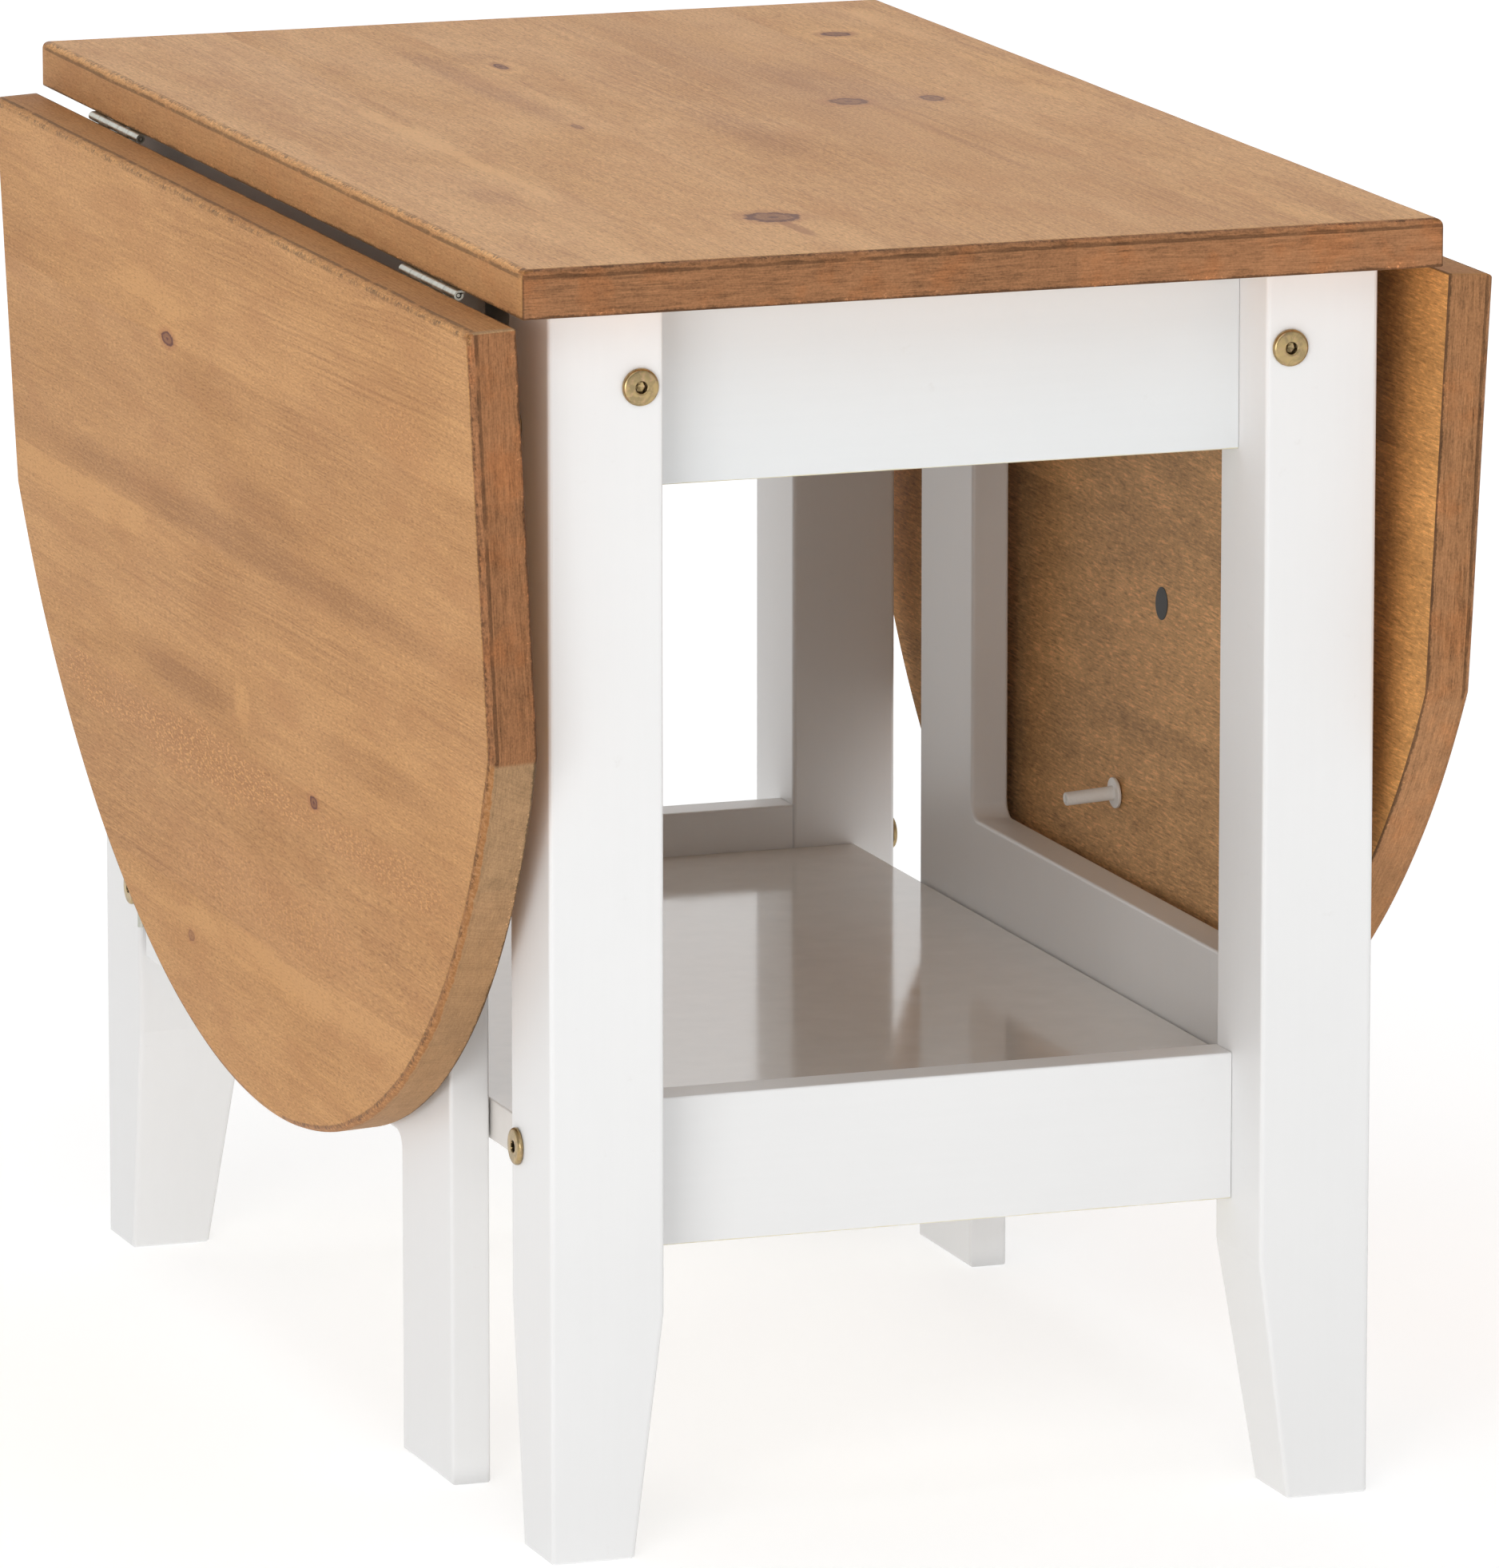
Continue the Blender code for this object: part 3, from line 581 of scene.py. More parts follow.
def board(name, outline, low, high, over, under, place, unevenness, holes=(), pivots=()):
    """A board with its arrises rounded by over above and under below.

    over varies by the share unevenness, in about WAVES waves to the metre, and WAVE_SEED sets
    boards at different heights apart. Flat strips SUPPORT wide beside every rounding keep the
    shading of the flat faces flat.
    """
    bm = bmesh.new()
    caps = []
    for points in (outline, *holes):
        over_here = []
        for point in points:
            pivot = near_pivot(point, pivots)
            where = pivot[0] if pivot else point
            spot = Vector((where.x * WAVES, where.y * WAVES, low * WAVE_SEED))
            uneven = noise.noise(spot)
            over_here.append(over * (1 + unevenness * uneven))
        levels = [([under + SUPPORT] * len(points), [low] * len(points))]
        for k in range(UNDER_STEPS + 1):
            a = QUARTER_TURN * k / UNDER_STEPS
            inset = under * (1 - math.sin(a))
            levels.append(([inset] * len(points), [low + under * (1 - math.cos(a))] * len(points)))
        flat = [0.0] * len(points)
        levels.append((flat, [low + under + SUPPORT] * len(points)))
        levels.append((flat, [high - r - SUPPORT for r in over_here]))
        for k in range(OVER_STEPS + 1):
            a = QUARTER_TURN * (OVER_STEPS - k) / OVER_STEPS
            levels.append(
                (
                    [r * (1 - math.sin(a)) for r in over_here],
                    [high - r * (1 - math.cos(a)) for r in over_here],
                )
            )
        levels.append(([r + SUPPORT for r in over_here], [high] * len(points)))
        rings = []
        for insets, heights in levels:
            ring = moved_in(points, insets, pivots)
            rings.append([bm.verts.new((p.x, p.y, z)) for p, z in zip(ring, heights)])
        for lower, upper in zip(rings, rings[1:]):
            for i in range(len(points)):
                j = (i + 1) % len(points)
                bm.faces.new((lower[i], lower[j], upper[j], upper[i]))
        caps.append((rings[0], rings[-1]))
    for side in (0, 1):
        edges = []
        for cap in caps:
            ring = cap[side]
            edges += [bm.edges.get((ring[i], ring[(i + 1) % len(ring)])) for i in range(len(ring))]
        if len(caps) == 1:
            bm.faces.new(caps[0][side])
        else:
            bmesh.ops.triangle_fill(bm, use_beauty=True, use_dissolve=True, edges=edges)
    bmesh.ops.remove_doubles(bm, verts=bm.verts, dist=TINY)
    return finish_mesh(name, bm, place)


def ringed(name, rings, place, segments=48, sharp=SHARP_ANGLE):
    """A solid from stacked rings of (radius, height, sides), sides being 0 for a circle.

    It starts and ends at points on the axis. A ring with sides is a polygon whose flats are at
    radius.
    """
    bm = bmesh.new()
    made = []
    for radius, z, sides in rings:
        if radius == 0:
            made.append([bm.verts.new((0, 0, z))])
            continue
        ring = []
        for k in range(segments):
            a = 2 * math.pi * k / segments
            r = radius
            if sides:
                step = 2 * math.pi / sides
                r = radius / math.cos((a % step) - step / 2)
            ring.append(bm.verts.new((r * math.cos(a), r * math.sin(a), z)))
        made.append(ring)
    for lower, upper in zip(made, made[1:]):
        for i in range(segments):
            j = (i + 1) % segments
            if len(lower) == 1:
                bm.faces.new((lower[0], upper[i], upper[j]))
            elif len(upper) == 1:
                bm.faces.new((lower[i], lower[j], upper[0]))
            else:
                bm.faces.new((lower[i], lower[j], upper[j], upper[i]))
    return finish_mesh(name, bm, place, sharp)


def quarter(radius, corner_r, corner_z, start, end, steps=5):
    """Rings on a rounded edge, between two angles in degrees from the +radius direction."""
    out = []
    for k in range(steps + 1):
        a = math.radians(start + (end - start) * k / steps)
        out.append((corner_r + radius * math.cos(a), corner_z + radius * math.sin(a), 0))
    return out


def cut_mesh(base, cutters):
    """The base mesh minus the cutter meshes."""
    collection = bpy.context.scene.collection
    item = bpy.data.objects.new("cut_base", base)
    collection.objects.link(item)
    tools = []
    for k, mesh in enumerate(cutters):
        tool = bpy.data.objects.new(f"cut_tool_{k}", mesh)
        collection.objects.link(tool)
        tools.append(tool)
        modifier = item.modifiers.new("Cut", "BOOLEAN")
        modifier.operation = "DIFFERENCE"
        modifier.solver = "EXACT"
        modifier.object = tool
    bpy.context.view_layer.update()
    graph = bpy.context.evaluated_depsgraph_get()
    result = bpy.data.meshes.new_from_object(item.evaluated_get(graph))
    for leftover in (item, *tools):
        bpy.data.objects.remove(leftover, do_unlink=True)
    result.shade_smooth()
    result.set_sharp_from_angle(angle=math.radians(SHARP_ANGLE))
    return result


def box_mesh(low, high):
    """A box for cutting with."""
    bm = bmesh.new()
    size = Vector(high) - Vector(low)
    middle = (Vector(high) + Vector(low)) / 2
    place = Matrix.Translation(middle) @ Matrix.Diagonal((*size, 1))
    bmesh.ops.create_cube(bm, size=1, matrix=place)
    return finish_mesh("cutter", bm)


# ---- materials
# From the table to the top's boards: u across them, v along the grain, w up from the show face
TOP_BOARD_FRAME = Matrix.Translation((0, 0, -TOP_HIGH.z))


def leaf_board_frame(side):
    """From the hanging leaf to its boards: u out from the hinge edge, v along the grain, w up."""
    raised = leaf_frame(side).inverted()
    to_board = Matrix.Translation((LEAF_EDGE, 0, -LEAF_TOP)) @ Matrix.Rotation(math.pi, 4, "Z")
    return to_board @ raised


# Light wood, dark wood, reddish wood, the edges' stain and the raw underside
TOP_STAIN = (
    (0.73, 0.388, 0.142),
    (0.45, 0.197, 0.06),
    (0.58, 0.26, 0.08),
    (0.32, 0.147, 0.066),
    (0.66, 0.39, 0.18),
)
LEAF_STAIN = (
    (0.59, 0.296, 0.096),
    (0.35, 0.151, 0.037),
    (0.45, 0.193, 0.054),
    (0.3, 0.134, 0.058),
    (0.64, 0.375, 0.172),
)
RIGHT_EDGE = (0.38, 0.18, 0.078)
RIGHT_STAIN = (*LEAF_STAIN[:3], RIGHT_EDGE, LEAF_STAIN[4])

top_pine = pine(
    "pine_top",
    TOP_BOARD_FRAME,
    seed=11.0,
    seams=(-0.16, -0.055, 0.053, 0.166),
    tones=(-0.02, -0.06, 0.04, 0.07, 0.0),
    knots=(
        (-0.082, -0.335, 0.0155, 0.0165, 0.9, 0.0),
        (-0.077, 0.022, 0.003, 0.0085, 0.55, 0.0),
        (-0.043, 0.266, 0.0035, 0.011, 0.95, 0.5),
        (0.108, 0.062, 0.0115, 0.013, 0.75, 0.0),
        (0.16, 0.058, 0.007, 0.0115, 0.8, 0.0),
        (0.196, 0.326, 0.009, 0.0085, 0.95, 0.45),
    ),
    stain=TOP_STAIN,
    marks=(
        (-0.178, -0.015, 0.0065, 0.21, -1.0),
        (-0.208, -0.212, 0.016, 0.042, 0.35),
        (-0.082, -0.375, 0.0048, 0.036, 1.0),
        (-0.079, 0.19, 0.015, 0.19, 0.5),
        (-0.048, 0.3, 0.02, 0.03, 0.25),
        (0.01, -0.04, 0.02, 0.11, 0.32),
        (0.122, 0.11, 0.03, 0.13, 0.35),
        (0.08, 0.15, 0.034, 0.3, 0.25),
        (0.245, 0.1, 0.02, 0.12, -0.4),
        (0.118, -0.06, 0.004, 0.18, 0.3),
        (0.24, 0.36, 0.01, 0.09, -0.4),
        (0.205, -0.4, 0.012, 0.08, -0.35),
    ),
    corner_lines=True,
)
leaf_pine = {
    "left": pine(
        "pine_leaf_left",
        leaf_board_frame("left"),
        seed=31.0,
        seams=(0.097, 0.212, 0.327, 0.438),
        tones=(-0.05, 0.07, -0.06, 0.06, -0.12),
        knots=(
            (0.096, -0.118, 0.0042, 0.0115, 1.0, 0.35),
            (0.331, 0.127, 0.004, 0.0072, 1.0, 0.0),
            (0.465, -0.138, 0.0035, 0.006, 0.5, 0.0),
        ),
        stain=LEAF_STAIN,
        marks=(
            (0.197, 0.0, 0.013, 0.5, 0.4),
            (0.222, -0.3, 0.012, 0.17, -0.4),
            (0.303, -0.13, 0.013, 0.11, 0.42),
            (0.3, -0.005, 0.016, 0.018, -0.45),
            (0.29, 0.25, 0.012, 0.13, 0.3),
            (0.07, -0.15, 0.014, 0.08, -0.35),
            (0.17, 0.05, 0.016, 0.09, 0.3),
            (0.452, 0.0, 0.013, 0.24, -0.35),
        ),
        chips=(
            (0.344, -0.11, 0.02, 0.26, 1.0),
            (0.345, 0.26, 0.016, 0.14, 0.8),
            (0.412, 0.01, 0.026, 0.19, 0.6),
            (0.08, 0.33, 0.022, 0.06, 0.6),
        ),
        cut_edge=0.92,
    ),
    "right": pine(
        "pine_leaf_right",
        leaf_board_frame("right"),
        seed=57.0,
        seams=(0.11, 0.222, 0.334, 0.446),
        tones=(0.05, -0.05, 0.04, -0.03, 0.06),
        knots=(
            (0.17, 0.21, 0.009, 0.013, 0.85, 0.3),
            (0.395, -0.27, 0.006, 0.01, 0.9, 0.0),
        ),
        stain=RIGHT_STAIN,
        marks=(
            (0.15, -0.2, 0.014, 0.16, 0.35),
            (0.06, 0.15, 0.008, 0.22, -0.45),
            (0.29, 0.05, 0.016, 0.12, 0.3),
            (0.39, 0.12, 0.01, 0.11, -0.3),
        ),
        cut_edge=0.15,
    ),
}

# Paints, and the ways that the wood's grain runs under them
WHITE = (0.815, 0.815, 0.812)
# Painted shade: the aprons' white is darker than WHITE for the shade under the top's overhang, and
# cooler against the warm light bounced off the wood
APRON_SHADED_WHITE = (0.75, 0.775, 0.785)
UPRIGHT = (260, 260, 9)
ALONG_X = (9, 260, 260)
ALONG_Y = (260, 9, 260)
SATIN = 0.36
APRON_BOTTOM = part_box("end_apron_front")[0].z
RAIL_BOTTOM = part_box("lower_rail_front")[0].z
leg_paint = paint("white_paint_legs", WHITE, SATIN, UPRIGHT)
side_paint = paint("white_paint_sides", WHITE, SATIN, ALONG_Y)
shelf_paint = plain("white_shelf_film", (0.78, 0.752, 0.715), 0.1, (40, 40, 40), 0.00001, 0.8)
# The aprons' paint uses that darker white, which is painted shade
apron_shaded_paint = paint("white_paint_aprons_shaded", APRON_SHADED_WHITE, SATIN, ALONG_X, APRON_BOTTOM)
rail_paint = paint("white_paint_lower_rails", WHITE, SATIN, ALONG_X, RAIL_BOTTOM)
bare_wood = plain("bare_softwood", (0.55, 0.38, 0.22), 0.62, (30, 420, 420), 0.0003)
# Painted shade: a near-black metal for the walls of the bolts' hex sockets, standing for the shade
# inside the hollow
socket_painted_shade = metal(
    "socket_painted_shade",
    ((0.045, 0.032, 0.016), (0.1, 0.07, 0.035), (0.03, 0.02, 0.01)),
    0.42,
    (300, 300, 300),
)
yellow_zinc = metal(
    "yellow_zinc",
    ((0.47, 0.345, 0.165), (0.33, 0.25, 0.13), (0.5, 0.33, 0.2)),
    0.28,
    (300, 300, 300),
)
nickel = metal(
    "nickel_plate",
    ((0.5, 0.5, 0.44), (0.42, 0.41, 0.36), (0.46, 0.42, 0.32)),
    0.3,
    (2400, 60, 2400),
)
white_plastic = plain("white_plastic", (0.8, 0.785, 0.755), 0.36, (500, 500, 500))
black_paper = plain("black_paper", (0.022, 0.02, 0.019), 0.55, (900, 900, 900))

# A CAD node gets the finish of the first of these that is in its name, and otherwise nickel
FINISHES = {
    "bolt_": yellow_zinc,
    "cleat": bare_wood,
    "leg_": leg_paint,
    "gate_": leg_paint,
    "end_apron": apron_shaded_paint,
    "lower_rail": rail_paint,
    "side_rail": side_paint,
    "shelf": shelf_paint,
    "stop_peg": white_plastic,
}
for name, node in NODES.items():
    finish = next((value for part, value in FINISHES.items() if part in name), nickel)
    node.data.materials.clear()
    node.data.materials.append(finish)

# ---- top and leaves
corner_signs = ((-1, -1), (1, -1), (1, 1), (-1, 1))
corners = [Vector((x * TOP_HIGH.x, y * HALF_LENGTH)) for x, y in corner_signs]
pivots = [corner_pivot(corners[i], corners[i - 1], corners[(i + 1) % 4], CORNER) for i in range(4)]
outline = along(rounded(corners, [CORNER] * 4, CORNER_STEPS), OUTLINE_STEP)
low, high = TOP_LOW.z, TOP_HIGH.z
mesh = board(
    "top_board", outline, low, high, ARRIS, UNDER_ARRIS, None, TOP_UNEVENNESS, (), pivots
)
piece("top_board", mesh, top_pine, "frame", "pine", "top_panel")


def leaf_outline():
    """A leaf's outline in its raised frame: two short sides and an arc, and its corners."""
    rise = LEAF_REACH - LEAF_SIDE
    radius = (HALF_LENGTH**2 + rise**2) / (2 * rise)
    center = LEAF_EDGE - LEAF_REACH + radius
    sweep = math.asin(HALF_LENGTH / radius)
    steps = 150
    points = [Vector((LEAF_EDGE, HALF_LENGTH))]
    for k in range(steps + 1):
        a = sweep - 2 * sweep * k / steps
        points.append(Vector((center - radius * math.cos(a), radius * math.sin(a))))
    points.append(Vector((LEAF_EDGE, -HALF_LENGTH)))
    ends = ((points[0], points[-1], points[1]), (points[-1], points[-2], points[0]))
    start, end = (arc_corner(*corner, CORNER, CORNER_STEPS) for corner in ends)
    pivots = [corner_pivot(*corner, CORNER) for corner in ends]
    return along([*start, *points[1:-1], *end], OUTLINE_STEP), pivots


for side in HALVES:
    outline, pivots = leaf_outline()
    low = LEAF_TOP - TOP_THICKNESS
    place = leaf_frame(side)
    name = "leaf_board_" + side
    mesh = board(
        name, outline, low, LEAF_TOP, ARRIS, UNDER_ARRIS, place, TOP_UNEVENNESS, (), pivots
    )
    piece(name, mesh, leaf_pine[side], "leaf_" + side, "pine", "leaf_" + side)

# ---- gates
GATE_STILE = 0.091
GATE_WINDOW = (0.286, 0.6245)
GATE_LOW_RAIL_BOTTOM = 0.191
GATE_CORNER = 0.01
GATE_CORNER_STEPS = 8
GATE_ARRIS = 0.002
GATE_STEP = 0.02
GATE_UNEVENNESS = 0.12
GATE_LOW, GATE_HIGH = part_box("gate_left")


def gate_mesh(side):
    """The gate drawn as (y, z) seen from +X, then stood up in its own half."""
    leg = GATE_LOW.y + GATE_STILE
    hinge_stile = GATE_HIGH.y - GATE_STILE
    frame_corners = [
        (GATE_LOW.y, GATE_LOW.z),
        (leg, GATE_LOW.z),
        (leg, GATE_LOW_RAIL_BOTTOM),
        (GATE_HIGH.y, GATE_LOW_RAIL_BOTTOM),
        (GATE_HIGH.y, GATE_HIGH.z),
        (GATE_LOW.y, GATE_HIGH.z),
    ]
    low, high = GATE_WINDOW
    window_corners = [(leg, low), (leg, high), (hinge_stile, high), (hinge_stile, low)]
    radii = [0, 0, GATE_CORNER, 0, 0, 0]
    body = rounded([Vector(c) for c in frame_corners], radii, GATE_CORNER_STEPS)
    window = rounded([Vector(c) for c in window_corners], [GATE_CORNER] * 4, GATE_CORNER_STEPS)
    stand = Matrix(((0, 0, 1, 0), (1, 0, 0, 0), (0, 1, 0, 0), (0, 0, 0, 1)))
    return board(
        "gate_frame_" + side,
        along(body, GATE_STEP),
        GATE_LOW.x,
        GATE_HIGH.x,
        GATE_ARRIS,
        GATE_ARRIS,
        HALVES[side] @ stand,
        GATE_UNEVENNESS,
        [along(window, GATE_STEP)],
    )


for side in HALVES:
    gate = "gate_" + side
    piece("gate_frame_" + side, gate_mesh(side), leg_paint, gate, "white_paint", gate)

# ---- connector bolts
BOLT_HEAD = 0.003
BOLT_RADIUS = 0.01075
BOLT_RIM = 0.002
BOLT_FIRST_TURN = 0.35
BOLT_NEXT_TURN = 0.9
SHANK_RADIUS = 0.004
SHANK_TIP_RADIUS = 0.0033
SHANK_CHAMFER = 0.0007
SOCKET_FLAT = 0.003
# Between these radii a head's faces above its seat are the walls of its socket, which get a dark
# metal as painted shade
SOCKET_INNER = 0.0008
SOCKET_OUTER = 0.0034

bolt_rings = [
    (BOLT_RADIUS - 0.0004, 0, 0),
    (BOLT_RADIUS, 0.0004, 0),
    *quarter(BOLT_RIM, BOLT_RADIUS - BOLT_RIM, BOLT_HEAD - BOLT_RIM, 0, 90),
    (0.005, BOLT_HEAD, 0),
    (0.004, BOLT_HEAD, 0),
    (0.0036, BOLT_HEAD - 0.0002, 0),
    (SOCKET_FLAT, BOLT_HEAD - 0.0007, 6),
    (SOCKET_FLAT, BOLT_HEAD - 0.0036, 6),
    (SOCKET_FLAT - 0.0003, BOLT_HEAD - 0.004, 6),
    (0.0011, BOLT_HEAD - 0.0046, 0),
    (0, BOLT_HEAD - 0.005, 0),
]
bolt_names = sorted(name for name in NODES if name.startswith("bolt_"))
for count, name in enumerate(bolt_names):
    low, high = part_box(name)
    middle = (low + high) / 2
    if "side_rail" in name:
        axis = Vector((0, -1 if "front" in name else 1, 0))
        middle.y = (low.y + BOLT_HEAD) if axis.y < 0 else (high.y - BOLT_HEAD)
        length = high.y - low.y - BOLT_HEAD
    else:
        axis = Vector((-1 if "left" in name else 1, 0, 0))
        middle.x = (low.x + BOLT_HEAD) if axis.x < 0 else (high.x - BOLT_HEAD)
        length = high.x - low.x - BOLT_HEAD
    shank = [
        (0, -length, 0),
        (SHANK_TIP_RADIUS, -length, 0),
        (SHANK_RADIUS, SHANK_CHAMFER - length, 0),
        (SHANK_RADIUS, 0, 0),
    ]
    place = Matrix.Translation(middle) @ axis.to_track_quat("Z", "Y").to_matrix().to_4x4()
    place = place @ Matrix.Rotation(BOLT_NEXT_TURN * count + BOLT_FIRST_TURN, 4, "Z")
    mesh = ringed("head_" + name, shank + bolt_rings, place)
    head = piece("head_" + name, mesh, yellow_zinc, "frame", "zinc", name)
    # The socket's walls get the dark metal, painted shade in the hollow; the point at its bottom
    # keeps the zinc
    head.data.materials.append(socket_painted_shade)
    from_head = place.inverted()
    for face in head.data.polygons:
        offset = from_head @ face.center
        if SOCKET_INNER < offset.xy.length < SOCKET_OUTER and offset.z > 0:
            face.material_index = 1

# ---- hinges
PLATE = 0.0012
BARREL = 0.0028
BORE = BARREL - PLATE
ROLL_STEPS = 26
ROLL_START = math.radians(90)
ROLL_END = math.radians(380)
PIN = 0.0013
PIN_CHAMFER = 0.0003
PIN_SHORT = 0.0005
# How far a knuckle's cutters reach past the barrel, past its ends and into its neighbours
CUT_ROUND = 0.0006
CUT_END = 0.001
CUT_GAP = 0.00015
SCREW_SEGMENTS = 24
SCREW_FIRST_TURN = 0.4
SCREW_NEXT_TURN = 1.1
# FLAT lays a flap's barrel along Y, and MIRROR makes the flap on the pin's other side
FLAT = Matrix.Rotation(QUARTER_TURN, 4, "X")
MIRROR = Matrix.Diagonal((-1, 1, 1, 1))


def screw_mesh():
    """A countersunk screw head with a cross recess, its face at Z = 0 and pointing to +Z."""
    rings = [
        (0, -PLATE - 0.0002, 0),
        (0.0017, -PLATE - 0.0002, 0),
        (0.0019, -PLATE, 0),
        (0.003, -0.0003, 0),
        (0.0031, -0.0001, 0),
        (0.0029, 0.0001, 0),
        (0.0015, 0.0002, 0),
        (0, 0.0002, 0),
    ]
    arms = [
        box_mesh((-0.0018, -0.00035, -0.0008), (0.0018, 0.00035, 0.001)),
        box_mesh((-0.00035, -0.0018, -0.0008), (0.00035, 0.0018, 0.001)),
    ]
    return cut_mesh(ringed("screw", rings, Matrix.Identity(4), SCREW_SEGMENTS), arms)


def flap_mesh(name, length, width, knuckles, keep, holes, place):
    """A plate rolled into a barrel along its own Z, running toward +X on the barrel's +Y side."""
    swing = ROLL_END - ROLL_START
    angles = [ROLL_START + swing * k / ROLL_STEPS for k in range(ROLL_STEPS + 1)]
    outer = [(BARREL * math.cos(a), BARREL * math.sin(a)) for a in angles]
    inner = [(BORE * math.cos(a), BORE * math.sin(a)) for a in reversed(angles)]
    profile = [(width, BARREL), *outer, *inner, (width, BORE)]
    bm = bmesh.new()
    ends = [[bm.verts.new((x, y, z)) for x, y in profile] for z in (-length / 2, length / 2)]
    for i in range(len(profile)):
        j = (i + 1) % len(profile)
        bm.faces.new((ends[0][i], ends[0][j], ends[1][j], ends[1][i]))
    bm.faces.new(ends[0])
    bm.faces.new(ends[1])
    base = finish_mesh(name, bm)
    pitch = length / knuckles
    cutters = []
    for k in range(knuckles):
        if k % 2 != keep:
            low = -length / 2 + k * pitch - (CUT_END if k == 0 else CUT_GAP)
            high = -length / 2 + (k + 1) * pitch + (CUT_END if k == knuckles - 1 else CUT_GAP)
            reach = BARREL + CUT_ROUND
            cutters.append(box_mesh((-reach, -reach, low), (reach, reach, high)))
    sink = [
        (0, -0.001, 0),
        (0.0034, -0.001, 0),
        (0.0031, 0, 0),
        (0.0019, PLATE, 0),
        (0.0019, 0.003, 0),
        (0, 0.003, 0),
    ]
    for x, z in holes:
        turn = Matrix.Translation((x, BORE, z)) @ Matrix.Rotation(-QUARTER_TURN, 4, "X")
        cutters.append(ringed("sink", sink, turn, SCREW_SEGMENTS))
    mesh = cut_mesh(base, cutters)
    mesh.name = name
    mesh.transform(place)
    if place.determinant() < 0:
        mesh.flip_normals()
    return mesh


def screws_mesh(name, screw, holes, place):
    """All the screws of one flap, each turned its own way."""
    bm = bmesh.new()
    for k, (x, z) in enumerate(holes):
        copy = screw.copy()
        seat = Matrix.Translation((x, BORE, z)) @ FLAT
        turned = Matrix.Rotation(SCREW_NEXT_TURN * k + SCREW_FIRST_TURN, 4, "Z")
        copy.transform(place @ seat @ turned)
        if place.determinant() < 0:
            copy.flip_normals()
        bm.from_mesh(copy)
        bpy.data.meshes.remove(copy)
    mesh = bpy.data.meshes.new(name)
    bm.to_mesh(mesh)
    bm.free()
    return mesh


def make_pin(node, length, place):
    """The pin of one hinge."""
    half = length / 2 - PIN_SHORT
    rings = [
        (0, -half, 0),
        (PIN - PIN_CHAMFER, -half, 0),
        (PIN, PIN_CHAMFER - half, 0),
        (PIN, half - PIN_CHAMFER, 0),
        (PIN - PIN_CHAMFER, half, 0),
        (0, half, 0),
    ]
    mesh = ringed("rod_" + node, rings, place, SCREW_SEGMENTS)
    piece("rod_" + node, mesh, nickel, "frame", "steel", node + "_pin")


def make_flap(node, size, keep, holes, place, body):
    """One flap with its screws. keep is 0 or 1, for its even or its odd knuckles."""
    length, width, knuckles = size
    mesh = flap_mesh("plate_" + node, length, width, knuckles, keep, holes, place)
    piece("plate_" + node, mesh, nickel, body, "steel", node)
    mesh = screws_mesh("screws_" + node, SCREW, holes, place)
    piece("screws_" + node, mesh, nickel, body, "steel")


SCREW = screw_mesh()
# A flap is (length, width, knuckles), and its holes are (distance from the pin, place along it)
LEAF_FLAP = (0.1, 0.026, 5)
LEAF_HOLES = [(0.0165, -0.036), (0.0185, 0.0), (0.0165, 0.036)]
GATE_FLAP = (0.06, 0.022, 3)
GATE_HOLES = [(0.014, -0.018), (0.014, 0.018)]
for side, turn in HALVES.items():
    for label in ("front", "back"):
        node = f"leaf_hinge_{label}_{side}"
        low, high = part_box(node + "_pin")
        y = (low.y + high.y) / 2 * (1 if side == "left" else -1)
        fixed = turn @ Matrix.Translation((LEAF_AXIS.x, y, LEAF_AXIS.z)) @ FLAT
        moving = leaf_frame(side) @ Matrix.Translation((0, y, 0)) @ FLAT @ MIRROR
        make_flap(node + "_top_flap", LEAF_FLAP, 0, LEAF_HOLES, fixed, "frame")
        make_flap(node + "_leaf_flap", LEAF_FLAP, 1, LEAF_HOLES, moving, "leaf_" + side)
        make_pin(node, LEAF_FLAP[0], fixed)
    for level in ("lower", "upper"):
        node = f"gate_hinge_{level}_{side}"
        low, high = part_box(node + "_pin")
        z = (low.z + high.z) / 2
        fixed = gate_frame(side) @ Matrix.Translation((0, 0, z))
        moving = fixed @ Matrix.Rotation(math.pi, 4, "Z") @ MIRROR
        make_flap(node + "_leg_flap", GATE_FLAP, 0, GATE_HOLES, fixed, "frame")
        make_flap(node + "_gate_flap", GATE_FLAP, 1, GATE_HOLES, moving, "gate_" + side)
        make_pin(node, GATE_FLAP[0], fixed)

# ---- stop pegs and a stuck-on dot
PEG_FROM_HINGE = 0.39
PEG_LENGTH = 0.033
PEG_RADIUS = 0.0043
PEG_FLANGE = 0.0095
PEG_FLANGE_HEIGHT = 0.0022
PEG_ROUND = 0.0008
PEG_DROOP = math.radians(6)
DOT_PLACE = (0.263, -0.055)
DOT_RADIUS = 0.01
DOT_SUNK = 0.0001

flange = quarter(PEG_ROUND, PEG_FLANGE - PEG_ROUND, PEG_FLANGE_HEIGHT - PEG_ROUND, 0, 90, 4)
peg_rings = [
    (0, 0, 0),
    (PEG_FLANGE - 0.0004, 0, 0),
    (PEG_FLANGE, -0.0004, 0),
    *[(radius, -height, sides) for radius, height, sides in flange],
    (PEG_RADIUS + 0.0008, -PEG_FLANGE_HEIGHT, 0),
    (PEG_RADIUS + 0.0002, -PEG_FLANGE_HEIGHT - 0.0002, 0),
    (PEG_RADIUS, -PEG_FLANGE_HEIGHT - 0.0008, 0),
    (PEG_RADIUS - 0.0002, 0.0008 - PEG_LENGTH, 0),
    (PEG_RADIUS - 0.0005, 0.0002 - PEG_LENGTH, 0),
    (PEG_RADIUS - 0.0009, -PEG_LENGTH, 0),
    (PEG_RADIUS - 0.0014, 0.0001 - PEG_LENGTH, 0),
    (PEG_RADIUS - 0.0016, 0.0012 - PEG_LENGTH, 0),
    (0, 0.0012 - PEG_LENGTH, 0),
]
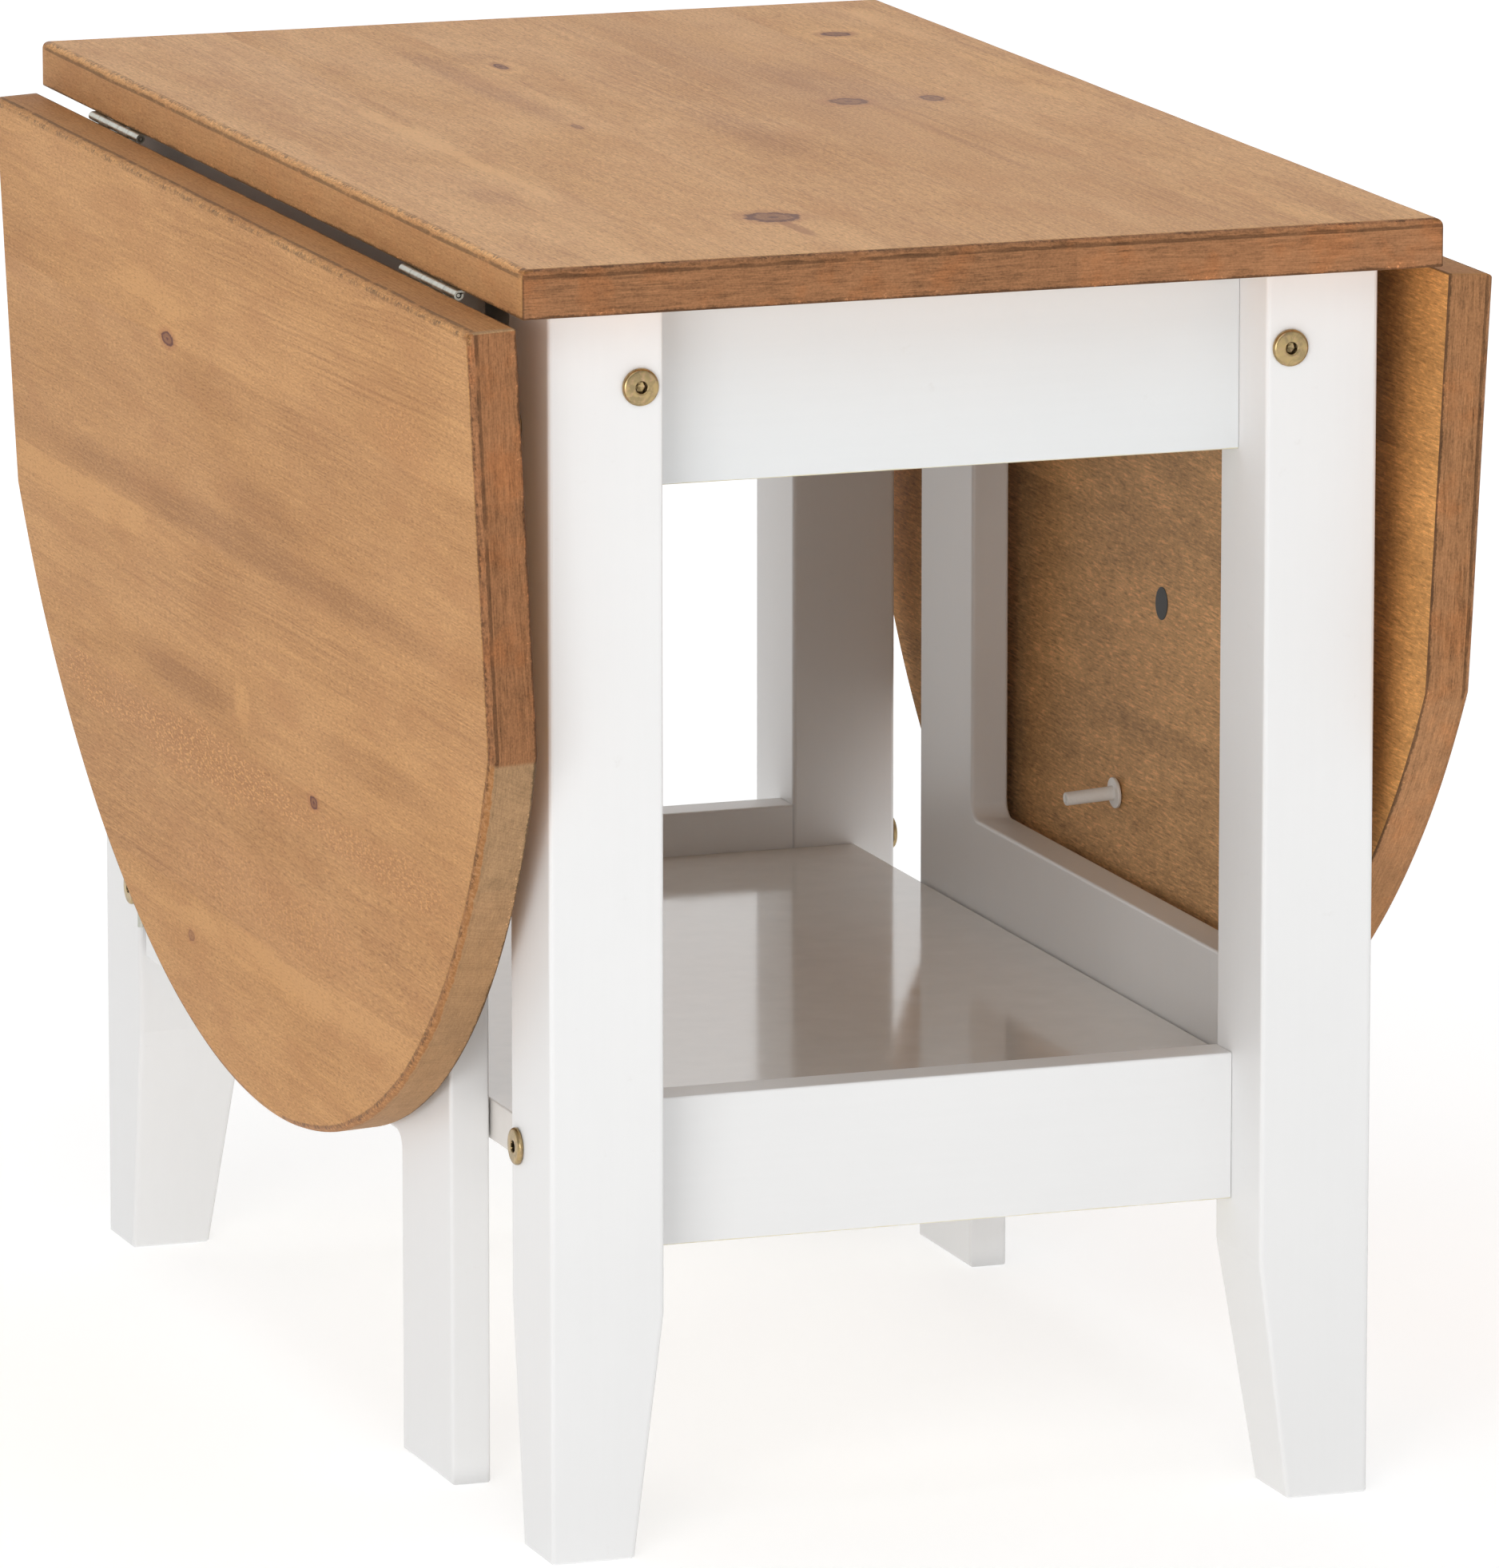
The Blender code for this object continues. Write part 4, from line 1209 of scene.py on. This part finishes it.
for side in HALVES:
    seat = (-PEG_FROM_HINGE, 0, BARREL - PEG_FLANGE * math.sin(PEG_DROOP))
    place = leaf_frame(side) @ Matrix.Translation(seat) @ Matrix.Rotation(PEG_DROOP, 4, "Y")
    mesh = ringed("peg_" + side, peg_rings, place, 40, 50)
    piece("peg_" + side, mesh, white_plastic, "leaf_" + side, "white_plastic", "stop_peg_" + side)

dot_rings = [
    (0, 0, 0),
    (DOT_RADIUS, 0, 0),
    (DOT_RADIUS, 0.00012, 0),
    (DOT_RADIUS - 0.0002, 0.0002, 0),
    (DOT_RADIUS - 0.001, 0.00022, 0),
    (0, 0.00022, 0),
]
dot_at = Matrix.Translation((*DOT_PLACE, -TOP_THICKNESS - DOT_SUNK))
dot_at = dot_at @ Matrix.Rotation(math.pi, 4, "X")
mesh = ringed("paper_dot", dot_rings, leaf_board_frame("right").inverted() @ dot_at)
piece("paper_dot", mesh, black_paper, "leaf_right", "white_plastic")

# ---- floor, lights and camera
FLOOR_HALF = 30
FLOOR_WHITE = (0.92, 0.92, 0.92)
# The floor gives off some light of its own: (distance from the middle, strength)
GLOW_NEAR = (0.7, 0.37)
GLOW_FAR = (3.0, 0.6)

floor_mesh = bpy.data.meshes.new("floor")
floor_corners = [(x * FLOOR_HALF, y * FLOOR_HALF, 0) for x, y in corner_signs]
floor_mesh.from_pydata(floor_corners, [], [(0, 1, 2, 3)])
floor = bpy.data.objects.new("floor", floor_mesh)
bpy.context.scene.collection.objects.link(floor)
g = Graph("studio_floor")
spots = g.noise(g.coordinate("Object"), (3, 3, 3), 2.0, 0.5)
distance = g.vector("LENGTH", g.coordinate("Object"))
away = g.between(distance, GLOW_NEAR[0], GLOW_FAR[0], GLOW_NEAR[1], GLOW_FAR[1])
floor_mesh.materials.append(
    g.finish(
        {
            "Base Color": g.shade(FLOOR_WHITE, g.linear(spots, 0.02, 0.99)),
            "Roughness": 0.85,
            "Emission Color": (1.0, 1.0, 1.0, 1.0),
            "Emission Strength": away,
        }
    )
)


def softbox(name, location, target, size, power):
    """A rectangular lamp aimed at the target, its power in watts."""
    data = bpy.data.lights.new(name, "AREA")
    data.shape = "RECTANGLE"
    data.size, data.size_y = size
    data.energy = power
    lamp = bpy.data.objects.new(name, data)
    bpy.context.scene.collection.objects.link(lamp)
    lamp.location = location
    lamp.rotation_euler = (Vector(target) - Vector(location)).to_track_quat("-Z", "Y").to_euler()


softbox("key", (-1.4, -4.2, 3.5), (0, 0, 0.45), (3.0, 2.2), 30)
softbox("side", (-3.3, -4.2, 1.0), (0.1, -0.1, 0.38), (2.4, 1.4), 66)
softbox("fill", (2.6, -4.8, 2.0), (0, 0, 0.45), (2.4, 2.4), 4)
softbox("overhead", (0, 0.2, 4.2), (0, 0, 0.7), (3.5, 3.5), 34)

# A white room, brighter behind the object, where the backdrop would be
world = bpy.data.worlds.new("studio")
bpy.context.scene.world = world
world.use_nodes = True
room = world.node_tree
direction = room.nodes.new("ShaderNodeTexCoord")
parts = room.nodes.new("ShaderNodeSeparateXYZ")
glow = room.nodes.new("ShaderNodeMapRange")
room.links.new(direction.outputs["Generated"], parts.inputs[0])
room.links.new(parts.outputs["Y"], glow.inputs["Value"])
for key, value in (("From Min", 0.6), ("From Max", 0.95), ("To Min", 0.44), ("To Max", 1.25)):
    glow.inputs[key].default_value = value
background = room.nodes["Background"]
background.inputs["Color"].default_value = (1.0, 1.0, 1.0, 1.0)
room.links.new(glow.outputs[0], background.inputs["Strength"])

bpy.context.scene.view_settings.view_transform = "Standard"

SENSOR_WIDTH = 36
LENS = 301.36
CAMERA_PLACE = (-2.5527, -7.25, 1.9263)
CAMERA_HEADING = -0.3414
CAMERA_DIP = 0.202

camera_data = bpy.data.cameras.new("camera")
camera = bpy.data.objects.new("camera", camera_data)
bpy.context.scene.collection.objects.link(camera)
camera_data.sensor_width = SENSOR_WIDTH
camera_data.lens = LENS
camera.location = CAMERA_PLACE
tilt = Matrix.Rotation(math.pi / 2 - CAMERA_DIP, 3, "X")
camera.rotation_euler = (Matrix.Rotation(CAMERA_HEADING, 3, "Z") @ tilt).to_euler()
bpy.context.scene.camera = camera
